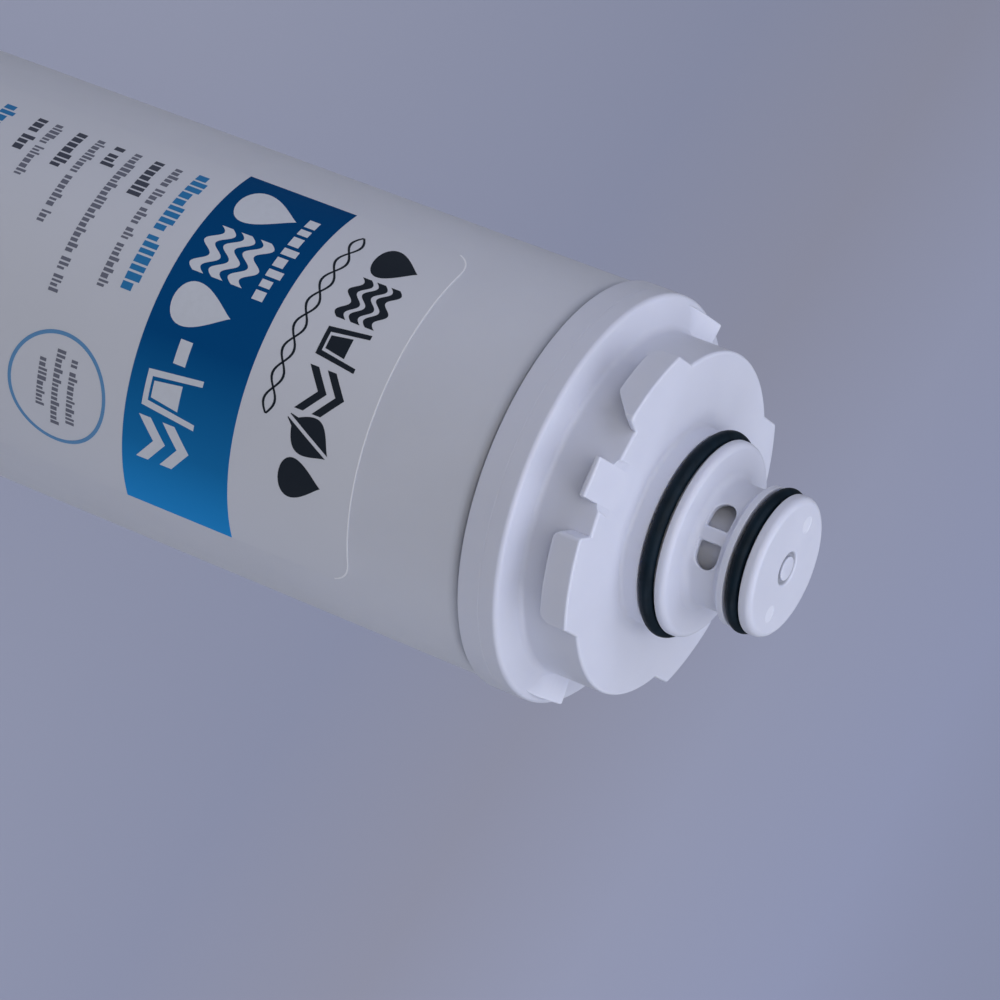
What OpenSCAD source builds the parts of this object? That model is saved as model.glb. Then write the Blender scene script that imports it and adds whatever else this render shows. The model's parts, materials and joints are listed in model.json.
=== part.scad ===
// Water filter cartridge: a closed plastic housing with a welded bayonet head, a spigot with
// two seals, a paper-thin label and a carbon block element inside.
// The origin is the centre of the foot ring. +Z runs along the axis to the tip of the spigot.
// The key block of the head and the middle of the label face -Y.

/* [Housing] */
// Outer diameter of the housing
housing_d = 76; // [73:0.5:90]
// Height of the seam between housing and head
seam_z = 245; // [200:1:330]
// Wall thickness of the housing
housing_wall = 2.4; // [1.8:0.1:3.5]
// Thickness of the closed end
floor_t = 3; // [2:0.1:5]
// Rounding of the closed end's outer edge
base_round = 4; // [1:0.5:6]
// Width of the flat foot ring
foot_w = 9; // [4:0.5:16]
// Depth of the recess inside the foot ring
foot_recess = 1.2; // [0.4:0.1:1.8]

/* [Weld joint] */
// Thickness of the housing's rim that enters the head
rim_t = 1.4; // [1:0.1:1.6]
// Height of that rim above the seam
rim_h = 6.2; // [4:0.1:7]
// Open gap at the seam
seam_gap = 0.5; // [0.2:0.1:1]
// Distance of the collar's lower edge from the seam height
seam_lift = 1.1; // [0:0.1:1.5]
// Rounding of the housing's shoulder below the seam
shoulder_round = 0.9; // [0.2:0.1:0.9]
// Clearance around the rim in its groove
rim_clear = 0.1; // [0.05:0.05:0.2]
// Depth of the head's tongue below the seam
tongue_h = 5; // [3:0.5:9]
// Thickness of the head's tongue
tongue_t = 2.2; // [1.5:0.1:3]

/* [Collar and neck] */
// How far the collar stands proud of the housing
collar_lip = 0.9; // [0.4:0.1:2]
// Height of the collar's front edge above the seam
collar_h = 9.3; // [8.6:0.1:12]
// Rise of the collar's face from its edge to the neck
collar_rise = 0.9; // [0:0.1:1.5]
// Rounding of the collar's front edge
collar_round = 1; // [0.4:0.1:1.8]
// Height of the fine parting line around the collar
parting_z = 5.4; // [3:0.1:6.5]
// Depth of the parting line
parting_d = 0.06; // [0.04:0.01:0.2]
// Size of the collar's lower chamfer
edge_break = 0.3; // [0.1:0.1:0.6]
// Diameter of the neck and its disc
neck_d = 65; // [60:0.5:66]
// Height of the disc's face above the seam
disc_z = 21.8; // [20:0.1:26]
// Thickness of the disc
disc_t = 3.4; // [2.4:0.1:4.5]
// Wall thickness of the neck
neck_wall = 3; // [2:0.1:4]
// Width of the concave foot of the neck
foot_sweep_w = 0.9; // [0.4:0.1:2]
// Height of the concave foot of the neck
foot_sweep_h = 1.6; // [0.6:0.1:3]
// Rounding of the disc's edge
disc_round = 0.45; // [0.2:0.05:1]

/* [Bayonet lugs] */
// Diameter over the lugs
lug_d = 73; // [70:0.5:74]
// Thickness of the lugs
lug_t = 5.2; // [3.5:0.1:6]
// Angle from the key to the near end of a lug with a blunt end
lug_near_blunt = 16.6; // [14:0.2:22]
// Angle from the key to the near end of a lug with a slanted end
lug_near_slant = 18.6; // [14:0.2:22]
// Angle from the key to the tip of a lug's far end
lug_far = 44.8; // [38:0.2:50]
// Angle from the key to the root of a lug's far end
lug_root = 52.4; // [46:0.2:60]
// Length of the slanted lead-in under a lug
lead_in = 4.6; // [2:0.1:7]
// Height of the blunt nose above a slanted lead-in
lead_nose = 1.1; // [0.8:0.1:1.6]
// Rounding of that nose
nose_round = 0.8; // [0.4:0.1:0.9]
// Rounding between a lead-in and the lug's lower side
lead_round = 1.6; // [0.6:0.1:2]
// Rounding of a lug's lower near corner
lug_round = 1.7; // [0.8:0.1:2.2]
// Rounding of a lug's lower far corner
far_round = 2.4; // [1:0.1:3]
// Rounding of a lug's near corner, seen from the spigot
plan_round = 0.9; // [0.3:0.1:1.5]
// Width of the key block, a tab that slopes down from its seat in the disc
key_w = 7.4; // [5:0.1:10]
// Distance of the key block's outer end from the axis
key_reach = 37.6; // [35:0.1:38.5]
// Thickness of the key block's outer end
key_t = 1.1; // [0.9:0.1:2.5]
// Rounding of the key block's outer end
key_round = 0.5; // [0.2:0.1:0.6]
// Drop of the key block's outer end below the disc
key_fall = 1.3; // [0.8:0.1:2]
// Drop of the seat's floor below the disc at its round end
seat_drop = 0.4; // [0.2:0.1:0.7]
// Width of the slopes around the seat
seat_slope = 1.3; // [0.4:0.1:2]
// Distance of the seat's round end from the axis
seat_in = 25.2; // [23.5:0.1:28]

/* [Collar cams] */
// Height of the two cams on the collar's face
cam_h = 3.3; // [1.5:0.1:4]
// Length of a cam's rising side
cam_len = 10.5; // [6:0.5:14]
// Length of a cam's falling side
cam_back = 1.6; // [0.8:0.1:3]
// Angle between each cam's crest and the side opposite the key
cam_angle = 80.5; // [70:0.5:85]
// Distance of a cam from the collar's edge
cam_inset = 0.9; // [0.6:0.1:2.5]

/* [Spigot] */
// Diameter of the large land
land_d = 36.8; // [34:0.1:40]
// Length of the land behind the large seal
rear_land = 3.4; // [2:0.1:5]
// Length of the land in front of the large seal
front_land = 1.98; // [1.2:0.02:3]
// Cord diameter of the large seal
large_cord = 2.62; // [2:0.02:3]
// Cord diameter of the small seal
small_cord = 2.4; // [1.8:0.02:2.8]
// How far the large seal stands out of its land
large_proud = 1.1; // [0.3:0.05:1.3]
// Clearance beside a seal in its groove
seal_side = 0.45; // [0.1:0.05:0.7]
// Clearance under a seal in its groove
seal_under = 0.05; // [0.02:0.01:0.15]
// Diameter of the stem between the lands
stem_d = 23.2; // [22:0.1:25]
// Length of the stem
stem_h = 6.1; // [5.6:0.1:9]
// Radius of the hollow at the foot of the stem
stem_round = 1.6; // [0.6:0.1:2]
// Length of the flare from the stem to the small land
flare_h = 1.3; // [0.8:0.1:2]
// Diameter of the small land
tip_d = 26.3; // [25.5:0.1:28]
// Length of the land behind the small seal
tip_rear = 1.2; // [0.5:0.02:2]
// Length of the land in front of the small seal
tip_front = 2.4; // [2:0.02:4]
// How far the small seal stands out of its land
small_proud = 0.48; // [0.3:0.02:0.8]
// Radius of the hollow at the foot of the spigot
root_round = 0.8; // [0.4:0.1:1.6]
// Rounding of the lands' edges
land_round = 1.1; // [0.4:0.1:1.2]
// Diameter of the passage inside the stem
passage_d = 16.8; // [14:0.1:17]
// Diameter of the chamber behind the slots
chamber_d = 20.8; // [19:0.1:21]
// Diameter of the hollow post inside the stem
post_d = 16; // [13:0.1:16.4]
// Wall thickness of that post
post_wall = 2.4; // [1.6:0.1:3]
// Thickness of the closed tip
tip_wall = 3; // [2:0.1:4]
// Diameter of the gate dimple in the tip
dimple_d = 6.8; // [5:0.1:8]
// Diameter of the flat inside the dimple
nub_d = 4.4; // [2:0.1:4.6]
// Depth of the gate dimple
dimple_deep = 0.3; // [0.1:0.05:0.5]

/* [Water openings] */
// Width of the slots in the stem
slot_w = 4.3; // [3:0.1:4.8]
// Angle covered by a slot
slot_span = 63; // [45:1:80]
// Angle of the bar in the middle of a slot
slot_bar = 13; // [8:1:20]
// Inner radius of the inlet ports behind the spigot
port_in = 21.5; // [20.5:0.1:23]
// Outer radius of the inlet ports
port_out = 27.5; // [25:0.1:28.5]
// Angle covered by each inlet port
port_span = 24; // [12:1:30]
// Angle of the bar between the inlet ports
port_bar = 8; // [5:1:14]

/* [Socket in the head] */
// Diameter of the socket that takes the element's nozzle
socket_d = 20.2; // [19:0.1:22]
// Wall thickness of the socket
socket_wall = 2.5; // [1.8:0.1:3.5]
// Depth of the socket below the seam
socket_deep = 18; // [14:0.5:26]
// Height of the socket's stop above the seam
socket_stop = 2; // [0:0.5:6]
// Number of ribs that brace the socket
rib_n = 6; // [3:1:8]
// Thickness of a rib
rib_t = 1.8; // [1.2:0.1:2.6]

/* [Label] */
// Width of the label around the housing
label_w = 72.8; // [40:0.2:90]
// Height of the label
label_h = 180; // [100:1:184]
// Distance from the seam to the label's top edge
label_drop = 22.4; // [15:0.1:30]
// Thickness of the label
label_t = 0.15; // [0.1:0.01:0.3]
// Corner radius of the label
label_round = 5.5; // [1:0.5:8]
// Angle from the key to the middle of the label
label_turn = 4; // [-10:1:10]

/* [Element] */
// Width of the flow space between the element and the housing
flow_gap = 3; // [2.4:0.1:4]
// Thickness of the netting sleeve
netting_t = 0.6; // [0.4:0.1:1]
// Thickness of the prefilter wrap
wrap_t = 1; // [0.5:0.1:2]
// Diameter of the block's bore
bore_d = 21; // [20.4:0.1:24]
// Thickness of the fleece around the core tube
fleece_t = 0.6; // [0.4:0.1:0.8]
// Outer diameter of the core tube
core_d = 19.6; // [18:0.1:19.6]
// Wall thickness of the core tube
core_wall = 1.6; // [1:0.1:2.2]
// Diameter of the holes in the core tube
core_hole_d = 4; // [2:0.1:5]
// Distance between rows of holes in the core tube
core_pitch = 15; // [10:1:25]
// Thickness of the glue between block and end caps
glue_t = 1; // [0.5:0.1:1.5]
// Clearance of the glue around the core tube
glue_fit = 0.1; // [0.05:0.05:0.2]
// Thickness of the end caps
cap_t = 3; // [2:0.1:4]
// Depth of the end caps' rims over the block
cap_lip = 6; // [3:0.5:9]
// Wall thickness of the end caps' rims
cap_lip_t = 1.2; // [0.8:0.1:1.4]
// Clearance inside the end caps' rims
cap_fit = 0.2; // [0.1:0.05:0.4]
// Height of the feet under the bottom end cap
feet_h = 8; // [5:0.5:14]
// Number of feet
feet_n = 4; // [3:1:6]
// Thickness of a foot
feet_t = 2.4; // [1.6:0.1:4]
// Clearance between the feet and the housing
feet_fit = 0.3; // [0.1:0.05:0.4]
// Distance from the top end cap to the socket's mouth
nozzle_neck = 4; // [2:0.5:8]
// Clearance of the nozzle in its socket
nozzle_fit = 0.15; // [0.1:0.01:0.3]
// Cord diameter of the nozzle's seals
nozzle_cord = 2; // [1.6:0.1:2.4]
// Diameter of the passage through the nozzle
nozzle_bore = 10.6; // [8:0.1:12]
// Distance between the nozzle's seals
nozzle_pitch = 5; // [4:0.1:6]
// Distance from the nozzle's end to the first seal
nozzle_end = 4; // [3:0.1:6]

/* [Hidden] */
$fn = 96;

eps = 0.01;
key_angle = -90;
// Gap behind a film or fleece that lies on a round wall
skin_fit = 0.03;
white = [0.86, 0.87, 0.9];
rubber = [0.08, 0.09, 0.1];

// Housing and weld joint
housing_r = housing_d / 2;
housing_ir = housing_r - housing_wall;
collar_r = housing_r + collar_lip;
rim_or = housing_ir + rim_t;
shoulder_z = seam_z + seam_lift - seam_gap;
groove_or = rim_or + rim_clear;
groove_ir = housing_ir - rim_clear;
groove_top = rim_h + rim_clear;
tongue_ir = groove_ir - tongue_t;

// Head, with heights above the seam
neck_r = neck_d / 2;
neck_ir = neck_r - neck_wall;
lug_r = lug_d / 2;
hollow_top = disc_z - disc_t;
hollow_step = collar_h - neck_wall - 1;
cam_r = collar_r - cam_inset;
neck_foot_z = collar_h + collar_rise;
land_r = land_d / 2;
large_groove = large_cord + 2 * seal_side;
large_z = disc_z + rear_land;
large_ring_r = land_r + large_proud - large_cord / 2;
large_floor_r = large_ring_r - large_cord / 2 - seal_under;
face_z = large_z + large_groove + front_land;
stem_r = stem_d / 2;
stem_top = face_z + stem_h;
tip_r = tip_d / 2;
small_z = stem_top + flare_h + tip_rear;
small_groove = small_cord + 2 * seal_side;
small_ring_r = tip_r + small_proud - small_cord / 2;
small_floor_r = small_ring_r - small_cord / 2 - seal_under;
tip_z = small_z + small_groove + tip_front;
passage_r = passage_d / 2;
chamber_r = chamber_d / 2;
chamber_high = stem_top + 0.2;
post_r = post_d / 2;
post_low = face_z - 1.7;
chamber_low = post_low - 2.7;
slot_z = face_z + stem_h * 0.6;
socket_r = socket_d / 2;
socket_or = socket_r + socket_wall;

// Element, with heights above the foot
net_r = housing_ir - flow_gap;
wrap_r = net_r - netting_t;
block_r = wrap_r - wrap_t;
block_ir = bore_d / 2;
core_r = core_d / 2;
core_ir = core_r - core_wall;
fleece_r = core_r + fleece_t;
lip_ir = net_r + cap_fit;
cap_r = lip_ir + cap_lip_t;
block_z = floor_t + feet_h + cap_t + glue_t;
top_cap_z = seam_z - socket_deep - nozzle_neck - cap_t;
block_top = top_cap_z - glue_t;
nozzle_r = socket_r - nozzle_fit;
nozzle_top = seam_z + socket_stop - nozzle_neck / 2;
nozzle_floor_r = nozzle_r - nozzle_cord + nozzle_fit;
upper_seal_z = nozzle_top - nozzle_end;
lower_seal_z = upper_seal_z - nozzle_pitch;

// Points of an arc about [cx, cz] from angle a0 to a1
function arc(cx, cz, r, a0, a1, n = 6) =
  [for (i = [0:n]) [cx + r * cos(a0 + (a1 - a0) * i / n), cz + r * sin(a0 + (a1 - a0) * i / n)]];

// Points of an outline's corner p between its neighbours a and b, as an arc of radius r
function corner(a, p, b, r, n = 4) =
  let (
    u = (a - p) / norm(a - p),
    v = (b - p) / norm(b - p),
    half = acos(u * v) / 2,
    c = p + (u + v) / norm(u + v) * r / sin(half),
    first = p + u * r / tan(half) - c,
    last = p + v * r / tan(half) - c,
    from = atan2(first[1], first[0]),
    turn = (atan2(last[1], last[0]) - from + 540) % 360 - 180)
  arc(c[0], c[1], r, from, from + turn, n);

// An outline in which each [x, z, radius] corner becomes an arc
function rounded(corners) =
  let (m = len(corners))
  [for (i = [0:m - 1])
    let (
      p = corners[i],
      a = corners[(i + m - 1) % m],
      b = corners[(i + 1) % m])
    each (p[2] == 0 ? [[p[0], p[1]]] : corner([a[0], a[1]], [p[0], p[1]], [b[0], b[1]], p[2]))];

// A point at an angle, with the rounding of its corner
function polar(r, a, round_r = 0) = [r * cos(a), r * sin(a), round_r];

// Points of a concave quarter ellipse, from its flat end to its upright end
function sweep(r_wall, z_floor, w, h, n = 8) =
  [for (i = [0:n]) [r_wall + w - w * sin(90 * i / n), z_floor + h - h * cos(90 * i / n)]];

// A ring with a rectangular section
module ring(r_out, r_in, h) {
  difference() {
    cylinder(r = r_out, h = h);
    translate([0, 0, -eps])
      cylinder(r = r_in, h = h + 2 * eps);
  }
}

// A wedge of space about the axis, from angle a0 to a1
module sector(a0, a1, r, h) {
  steps = ceil((a1 - a0) / 30);
  linear_extrude(h)
    polygon(concat([[0, 0]],
      [for (i = [0:steps]) [r * cos(a0 + (a1 - a0) * i / steps), r * sin(a0 + (a1 - a0) * i / steps)]]));
}

// A seal ring, as a true torus
module seal(ring_r, cord) {
  rotate_extrude()
    translate([ring_r, 0])
      circle(d = cord, $fn = 40);
}

module housing_sump() {
  color(white)
    rotate_extrude()
      polygon(concat(
        [[0, foot_recess], [housing_r - base_round - foot_w, foot_recess]],
        [[housing_r - base_round - foot_w + foot_recess, 0]],
        arc(housing_r - base_round, base_round, base_round, -90, 0),
        arc(housing_r - shoulder_round, shoulder_z - shoulder_round, shoulder_round, 0, 90),
        [[rim_or, shoulder_z]],
        [[rim_or, seam_z + rim_h]],
        [[housing_ir, seam_z + rim_h]],
        arc(housing_ir - 2, floor_t + 2, 2, 0, -90),
        [[0, floor_t]]));
}

// The head's outline from the tongue up to the tip
module head_outline() {
  rotate_extrude()
    polygon(concat(
      [[0, -tongue_h], [groove_ir, -tongue_h], [groove_ir, groove_top], [groove_or, groove_top]],
      [[groove_or, seam_lift], [collar_r - edge_break, seam_lift], [collar_r, seam_lift + edge_break]],
      [[collar_r, parting_z - parting_d], [collar_r - parting_d, parting_z]],
      [[collar_r, parting_z + parting_d]],
      arc(collar_r - collar_round, collar_h - collar_round, collar_round, 0, 90),
      sweep(neck_r, neck_foot_z, foot_sweep_w, foot_sweep_h),
      arc(neck_r - disc_round, disc_z - disc_round, disc_round, 0, 90, 4),
      arc(land_r + root_round, disc_z + root_round, root_round, -90, -180, 5),
      [[land_r, large_z], [large_floor_r, large_z]],
      [[large_floor_r, large_z + large_groove], [land_r, large_z + large_groove]],
      arc(land_r - land_round, face_z - land_round, land_round, 0, 90),
      arc(stem_r + stem_round, face_z + stem_round, stem_round, -90, -180),
      [[stem_r, stem_top], [tip_r, stem_top + flare_h], [tip_r, small_z], [small_floor_r, small_z]],
      [[small_floor_r, small_z + small_groove], [tip_r, small_z + small_groove]],
      arc(tip_r - land_round, tip_z - land_round, land_round, 0, 90),
      [[0, tip_z]]));
}

// The water space inside the tongue, collar and neck
module head_hollow() {
  rotate_extrude()
    polygon([
      [0, -tongue_h - 1], [tongue_ir, -tongue_h - 1], [tongue_ir, hollow_step],
      [neck_ir, hollow_step + tongue_ir - neck_ir], [neck_ir, hollow_top], [0, hollow_top]]);
}

// One bayonet lug. side = 1 lies counter-clockwise of the key and side = -1 clockwise.
// slant leans the near end over as a lead-in, and the far end tapers back to the neck.
module lug(side, slant) {
  over = 1;
  lug_near = slant ? lug_near_slant : lug_near_blunt;
  corner_pt = polar(lug_r, lug_near, plan_round);
  tangent_pt = corner_pt + 4 * [-sin(lug_near), cos(lug_near), 0] - [0, 0, plan_round];
  tip = polar(lug_r, lug_far);
  foot = polar(neck_r, lug_root);
  intersection() {
    translate([0, 0, disc_z - lug_t])
      cylinder(r = lug_r, h = lug_t);
    rotate([0, 0, key_angle])
      translate([0, 0, disc_z - lug_t])
        linear_extrude(lug_t)
          mirror([0, side < 0 ? 1 : 0])
            polygon(rounded([
              polar(neck_r - over, lug_near), corner_pt, tangent_pt,
              polar(lug_r * 1.2, (lug_near + lug_far) / 2), tip + (tip - foot) * 0.4,
              foot, polar(neck_r - over, lug_root)]));
    rotate([0, 0, key_angle + side * lug_near])
      lug_side_form(side, slant);
  }
}

// The side view of a lug, as a prism across it. The near end is blunt or leans over as a lead-in.
module lug_side_form(side, slant) {
  over = 1;
  start = -2 * eps;
  tip_x = lug_r * sin(lug_far - (slant ? lug_near_slant : lug_near_blunt)) - start;
  end_x = lug_r * sin(lug_root - lug_near_blunt) + over;
  near_end = slant
    ? [[start, lug_t + over, 0], [start, lug_t - lead_nose, nose_round], [lead_in, 0, lead_round]]
    : [[start, lug_t + over, 0], [start, 0, lug_round]];
  translate([neck_r / 2, 0, disc_z - lug_t])
    rotate([90, 0, 90])
      linear_extrude(lug_r)
        mirror([side < 0 ? 1 : 0, 0])
          polygon(rounded(concat(near_end,
            [[tip_x, 0, far_round], [tip_x, far_round + over, 0]],
            [[end_x, far_round + over, 0], [end_x, lug_t + over, 0]])));
}

// Drop of the seat's sloping floor below the disc, at a distance from the axis
function seat_depth(r) = seat_drop + (key_fall - seat_drop) * (r - seat_in) / (key_reach - seat_in);

// The key block: a thin tab that slopes outwards between the first two lugs, with a web below it
module key_block() {
  key_sink = 3;
  top_r = key_reach - key_round;
  rotate([0, 0, key_angle])
    rotate([90, 0, 0])
      linear_extrude(key_w, center = true)
        polygon(concat(
          [[neck_r - key_sink, disc_z - lug_t + 1], [neck_r - key_sink, disc_z - seat_drop]],
          [[top_r, disc_z - seat_drop]],
          arc(top_r, disc_z - seat_depth(top_r) - key_round, key_round, 90, 0),
          [[key_reach, disc_z - key_fall - key_t], [neck_r, disc_z - lug_t + 1]]));
}

// The seat behind the key block: a sloping floor with a round end, and slopes up to the disc
module key_seat() {
  out_r = key_reach + 1;
  fall = atan((key_fall - seat_drop) / (key_reach - seat_in));
  rotate([0, 0, key_angle])
    hull() {
      translate([out_r, 0, disc_z - seat_depth(out_r)])
        rotate([0, fall, 0]) {
          translate([0, -key_w / 2, 0])
            cube([eps, key_w, eps]);
          translate([(seat_in + key_w / 2 - out_r) / cos(fall), 0, 0])
            cylinder(d = key_w, h = eps, $fn = 32);
        }
      translate([out_r, -key_w / 2 - seat_slope, disc_z + eps])
        cube([eps, key_w + 2 * seat_slope, eps]);
      translate([seat_in - seat_slope + key_w / 2, 0, disc_z + eps])
        cylinder(d = key_w + 2 * seat_slope, h = eps, $fn = 32);
    }
}

// One cam on the collar's face. It rises slowly to its crest and falls steeply behind it.
module cam(side) {
  rise_n = 6;
  cam_sink = 0.5;
  cam_flat = 0.4;
  crest = key_angle + 180 + side * cam_angle;
  intersection() {
    translate([0, 0, collar_h - 1])
      ring(cam_r, neck_r - 1, cam_h + 2);
    rotate([0, 0, crest])
      translate([neck_r - 4, 0, collar_h])
        rotate([90, 0, 90])
          linear_extrude(cam_r - neck_r + 6)
            mirror([side > 0 ? 0 : 1, 0])
              polygon(concat(
                [[-cam_back, -cam_sink], [cam_len, -cam_sink]],
                [for (i = [1:rise_n])
                  [cam_len * (1 - i / rise_n) + cam_flat, cam_h * pow(i / rise_n, 1.6)]],
                [[0, cam_h]]));
  }
}

// The passage inside the spigot: a bore, a wider chamber behind the slots, and a hollow post in it
module passage() {
  post_ir = post_r - post_wall;
  rotate_extrude()
    polygon([
      [0, 0], [passage_r, 0], [passage_r, chamber_low - chamber_r + passage_r], [chamber_r, chamber_low],
      [chamber_r, chamber_high], [post_r, chamber_high + chamber_r - post_r], [post_r, post_low],
      [post_ir, post_low], [post_ir, tip_z - tip_wall], [0, tip_z - tip_wall]]);
}

// A slot through the stem on one side, with round ends and a bar in its middle
module stem_slot() {
  half_w = stem_r * sin(slot_span / 2);
  bar_w = 2 * stem_r * sin(slot_bar / 2);
  r = slot_w / 2;
  difference() {
    translate([0, 0, slot_z])
      rotate([90, 0, 90])
        linear_extrude(stem_r + 2)
          polygon(concat(arc(half_w - r, 0, r, -90, 90, 12), arc(r - half_w, 0, r, 90, 270, 12)));
    translate([0, -bar_w / 2, slot_z - slot_w])
      cube([stem_r + 3, bar_w, 2 * slot_w]);
    translate([0, 0, slot_z - slot_w])
      cylinder(r = (post_r + chamber_r) / 2, h = 2 * slot_w);
  }
}

// A curved inlet port through the disc, on the side away from the key
module inlet_port(side) {
  turn = side > 0 ? port_bar / 2 : -port_bar / 2 - port_span;
  translate([0, 0, hollow_top - 1])
    rotate([0, 0, key_angle + 180 + turn])
      intersection() {
        ring(port_out, port_in, disc_t + 3);
        sector(0, port_span, port_out + 2, disc_t + 3);
      }
}

// The tube that takes the element's nozzle, and the ribs that brace it
module socket() {
  translate([0, 0, -socket_deep])
    cylinder(r = socket_or, h = socket_deep + hollow_top + eps);
  for (i = [0:rib_n - 1])
    rotate([0, 0, key_angle + 360 * (i + 0.5) / rib_n])
      translate([socket_r, -rib_t / 2, collar_h])
        cube([neck_ir - socket_r + 1, rib_t, hollow_top - collar_h + eps]);
}

module head_cap() {
  color(white)
    translate([0, 0, seam_z])
      difference() {
        union() {
          difference() {
            head_outline();
            head_hollow();
          }
          socket();
          for (half_turn = [0, 180])
            rotate([0, 0, half_turn]) {
              lug(1, false);
              lug(-1, true);
            }
          key_block();
          for (side = [-1, 1])
            cam(side);
        }
        translate([0, 0, -socket_deep - 1])
          cylinder(r = socket_r, h = socket_deep + socket_stop + 1);
        passage();
        for (half_turn = [0, 180])
          rotate([0, 0, key_angle + half_turn])
            stem_slot();
        for (side = [-1, 1])
          inlet_port(side);
        key_seat();
        translate([0, 0, tip_z - dimple_deep])
          ring(dimple_d / 2, nub_d / 2, 1);
      }
}

// The label's outline seen from the front, so that its corners are round when it is wrapped.
// u runs around the wall and v up it, both from the label's middle.
function wrapped(u, v) = [housing_r * sin(u / housing_r * 180 / PI), v];
function label_outline(half_w, half_h, r, n = 6) =
  [for (corner = [0:3], i = [0:n])
    let (
      su = corner == 0 || corner == 3 ? 1 : -1,
      sv = corner < 2 ? 1 : -1,
      a = 90 * (corner + i / n))
    wrapped(su * (half_w - r) + r * cos(a), sv * (half_h - r) + r * sin(a))];

module label() {
  color([0.93, 0.93, 0.95])
    translate([0, 0, seam_z - label_drop - label_h / 2])
      rotate([0, 0, key_angle + label_turn])
        intersection() {
          translate([0, 0, -label_h])
            ring(housing_r + label_t, housing_r + skin_fit, 2 * label_h);
          rotate([90, 0, 90])
            linear_extrude(housing_r + 2 * label_t)
              polygon(label_outline(label_w / 2, label_h / 2, label_round));
        }
}

module spigot_seal_large() {
  color(rubber)
    translate([0, 0, seam_z + large_z + large_groove / 2])
      seal(large_ring_r, large_cord);
}

module spigot_seal_small() {
  color(rubber)
    translate([0, 0, seam_z + small_z + small_groove / 2])
      seal(small_ring_r, small_cord);
}

// The rim and plate that both end caps share. The rim points down, and the plate starts at 0.
module cap_plate() {
  cylinder(r = cap_r, h = cap_t);
  translate([0, 0, -cap_lip - glue_t])
    ring(cap_r, lip_ir, cap_lip + glue_t + eps);
}

module bottom_end_cap() {
  color([0.88, 0.88, 0.86]) {
    translate([0, 0, block_z - glue_t])
      mirror([0, 0, 1])
        cap_plate();
    for (i = [0:feet_n - 1])
      rotate([0, 0, 360 * i / feet_n])
        translate([8, -feet_t / 2, floor_t])
          intersection() {
            cube([housing_ir - feet_fit - 8, feet_t, feet_h + cap_t]);
            translate([-8, 0, 0])
              cylinder(r = housing_ir - 2, h = 2 * feet_h + cap_t);
          }
  }
}

module top_end_cap() {
  color([0.88, 0.88, 0.86])
    difference() {
      union() {
        translate([0, 0, top_cap_z])
          cap_plate();
        translate([0, 0, top_cap_z])
          cylinder(r = nozzle_r, h = nozzle_top - top_cap_z);
      }
      translate([0, 0, top_cap_z - 1])
        cylinder(d = nozzle_bore, h = nozzle_top - top_cap_z + 2);
      for (z = [lower_seal_z, upper_seal_z])
        translate([0, 0, z - nozzle_cord / 2 - 0.2])
          ring(nozzle_r + 1, nozzle_floor_r - seal_under, nozzle_cord + 0.4);
    }
}

module nozzle_seal(z) {
  color(rubber)
    translate([0, 0, z])
      seal(nozzle_floor_r + nozzle_cord / 2 - seal_under / 2, nozzle_cord - seal_under);
}

module nozzle_seal_lower() {
  nozzle_seal(lower_seal_z);
}

module nozzle_seal_upper() {
  nozzle_seal(upper_seal_z);
}

module glue_ring(z) {
  color([0.82, 0.76, 0.6])
    translate([0, 0, z])
      ring(block_r, core_r + glue_fit, glue_t);
}

module bottom_glue_ring() {
  glue_ring(block_z - glue_t);
}

module top_glue_ring() {
  glue_ring(block_top);
}

module core_tube() {
  length = top_cap_z - block_z + glue_t;
  rows = floor((length - 2 * core_pitch) / core_pitch);
  color([0.9, 0.9, 0.88])
    translate([0, 0, block_z - glue_t])
      difference() {
        ring(core_r, core_ir, length);
        for (i = [0:rows])
          translate([0, 0, core_pitch * (i + 1)])
            for (a = [0, 90])
              rotate([0, 90, a + 45 * (i % 2)])
                cylinder(d = core_hole_d, h = core_d + 2, center = true);
      }
}

module core_fleece() {
  color([0.92, 0.92, 0.92])
    translate([0, 0, block_z])
      ring(fleece_r, core_r + skin_fit, block_top - block_z);
}

module carbon_block() {
  color([0.1, 0.1, 0.1])
    translate([0, 0, block_z])
      ring(block_r, block_ir, block_top - block_z);
}

module prefilter_wrap() {
  color([0.95, 0.95, 0.95])
    translate([0, 0, block_z])
      ring(wrap_r, block_r, block_top - block_z);
}

// The netting is a thin sleeve with rows of diamond openings
module netting_sleeve() {
  rows = 6;
  columns = 6;
  length = block_top - block_z;
  pitch = length / (rows + 0.5);
  gap = PI * net_r / columns * 0.62;
  color([0.9, 0.9, 0.92])
    translate([0, 0, block_z])
      difference() {
        ring(net_r, wrap_r, length);
        for (i = [0:rows - 1])
          for (j = [0:columns - 1])
            translate([0, 0, pitch * (i + 0.75)])
              rotate([0, 0, 180 * (j + (i % 2) / 2) / columns])
                rotate([0, 90, 0])
                  linear_extrude(2 * net_r + 4, center = true)
                    polygon([[-pitch * 0.42, 0], [0, -gap / 2], [pitch * 0.42, 0], [0, gap / 2]]);
      }
}

housing_sump();
head_cap();
label();
spigot_seal_large();
spigot_seal_small();
bottom_end_cap();
bottom_glue_ring();
core_tube();
core_fleece();
carbon_block();
prefilter_wrap();
netting_sleeve();
top_glue_ring();
top_end_cap();
nozzle_seal_lower();
nozzle_seal_upper();
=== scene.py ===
import json
import math

import bmesh
import bpy
from mathutils import Matrix, Vector


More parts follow.
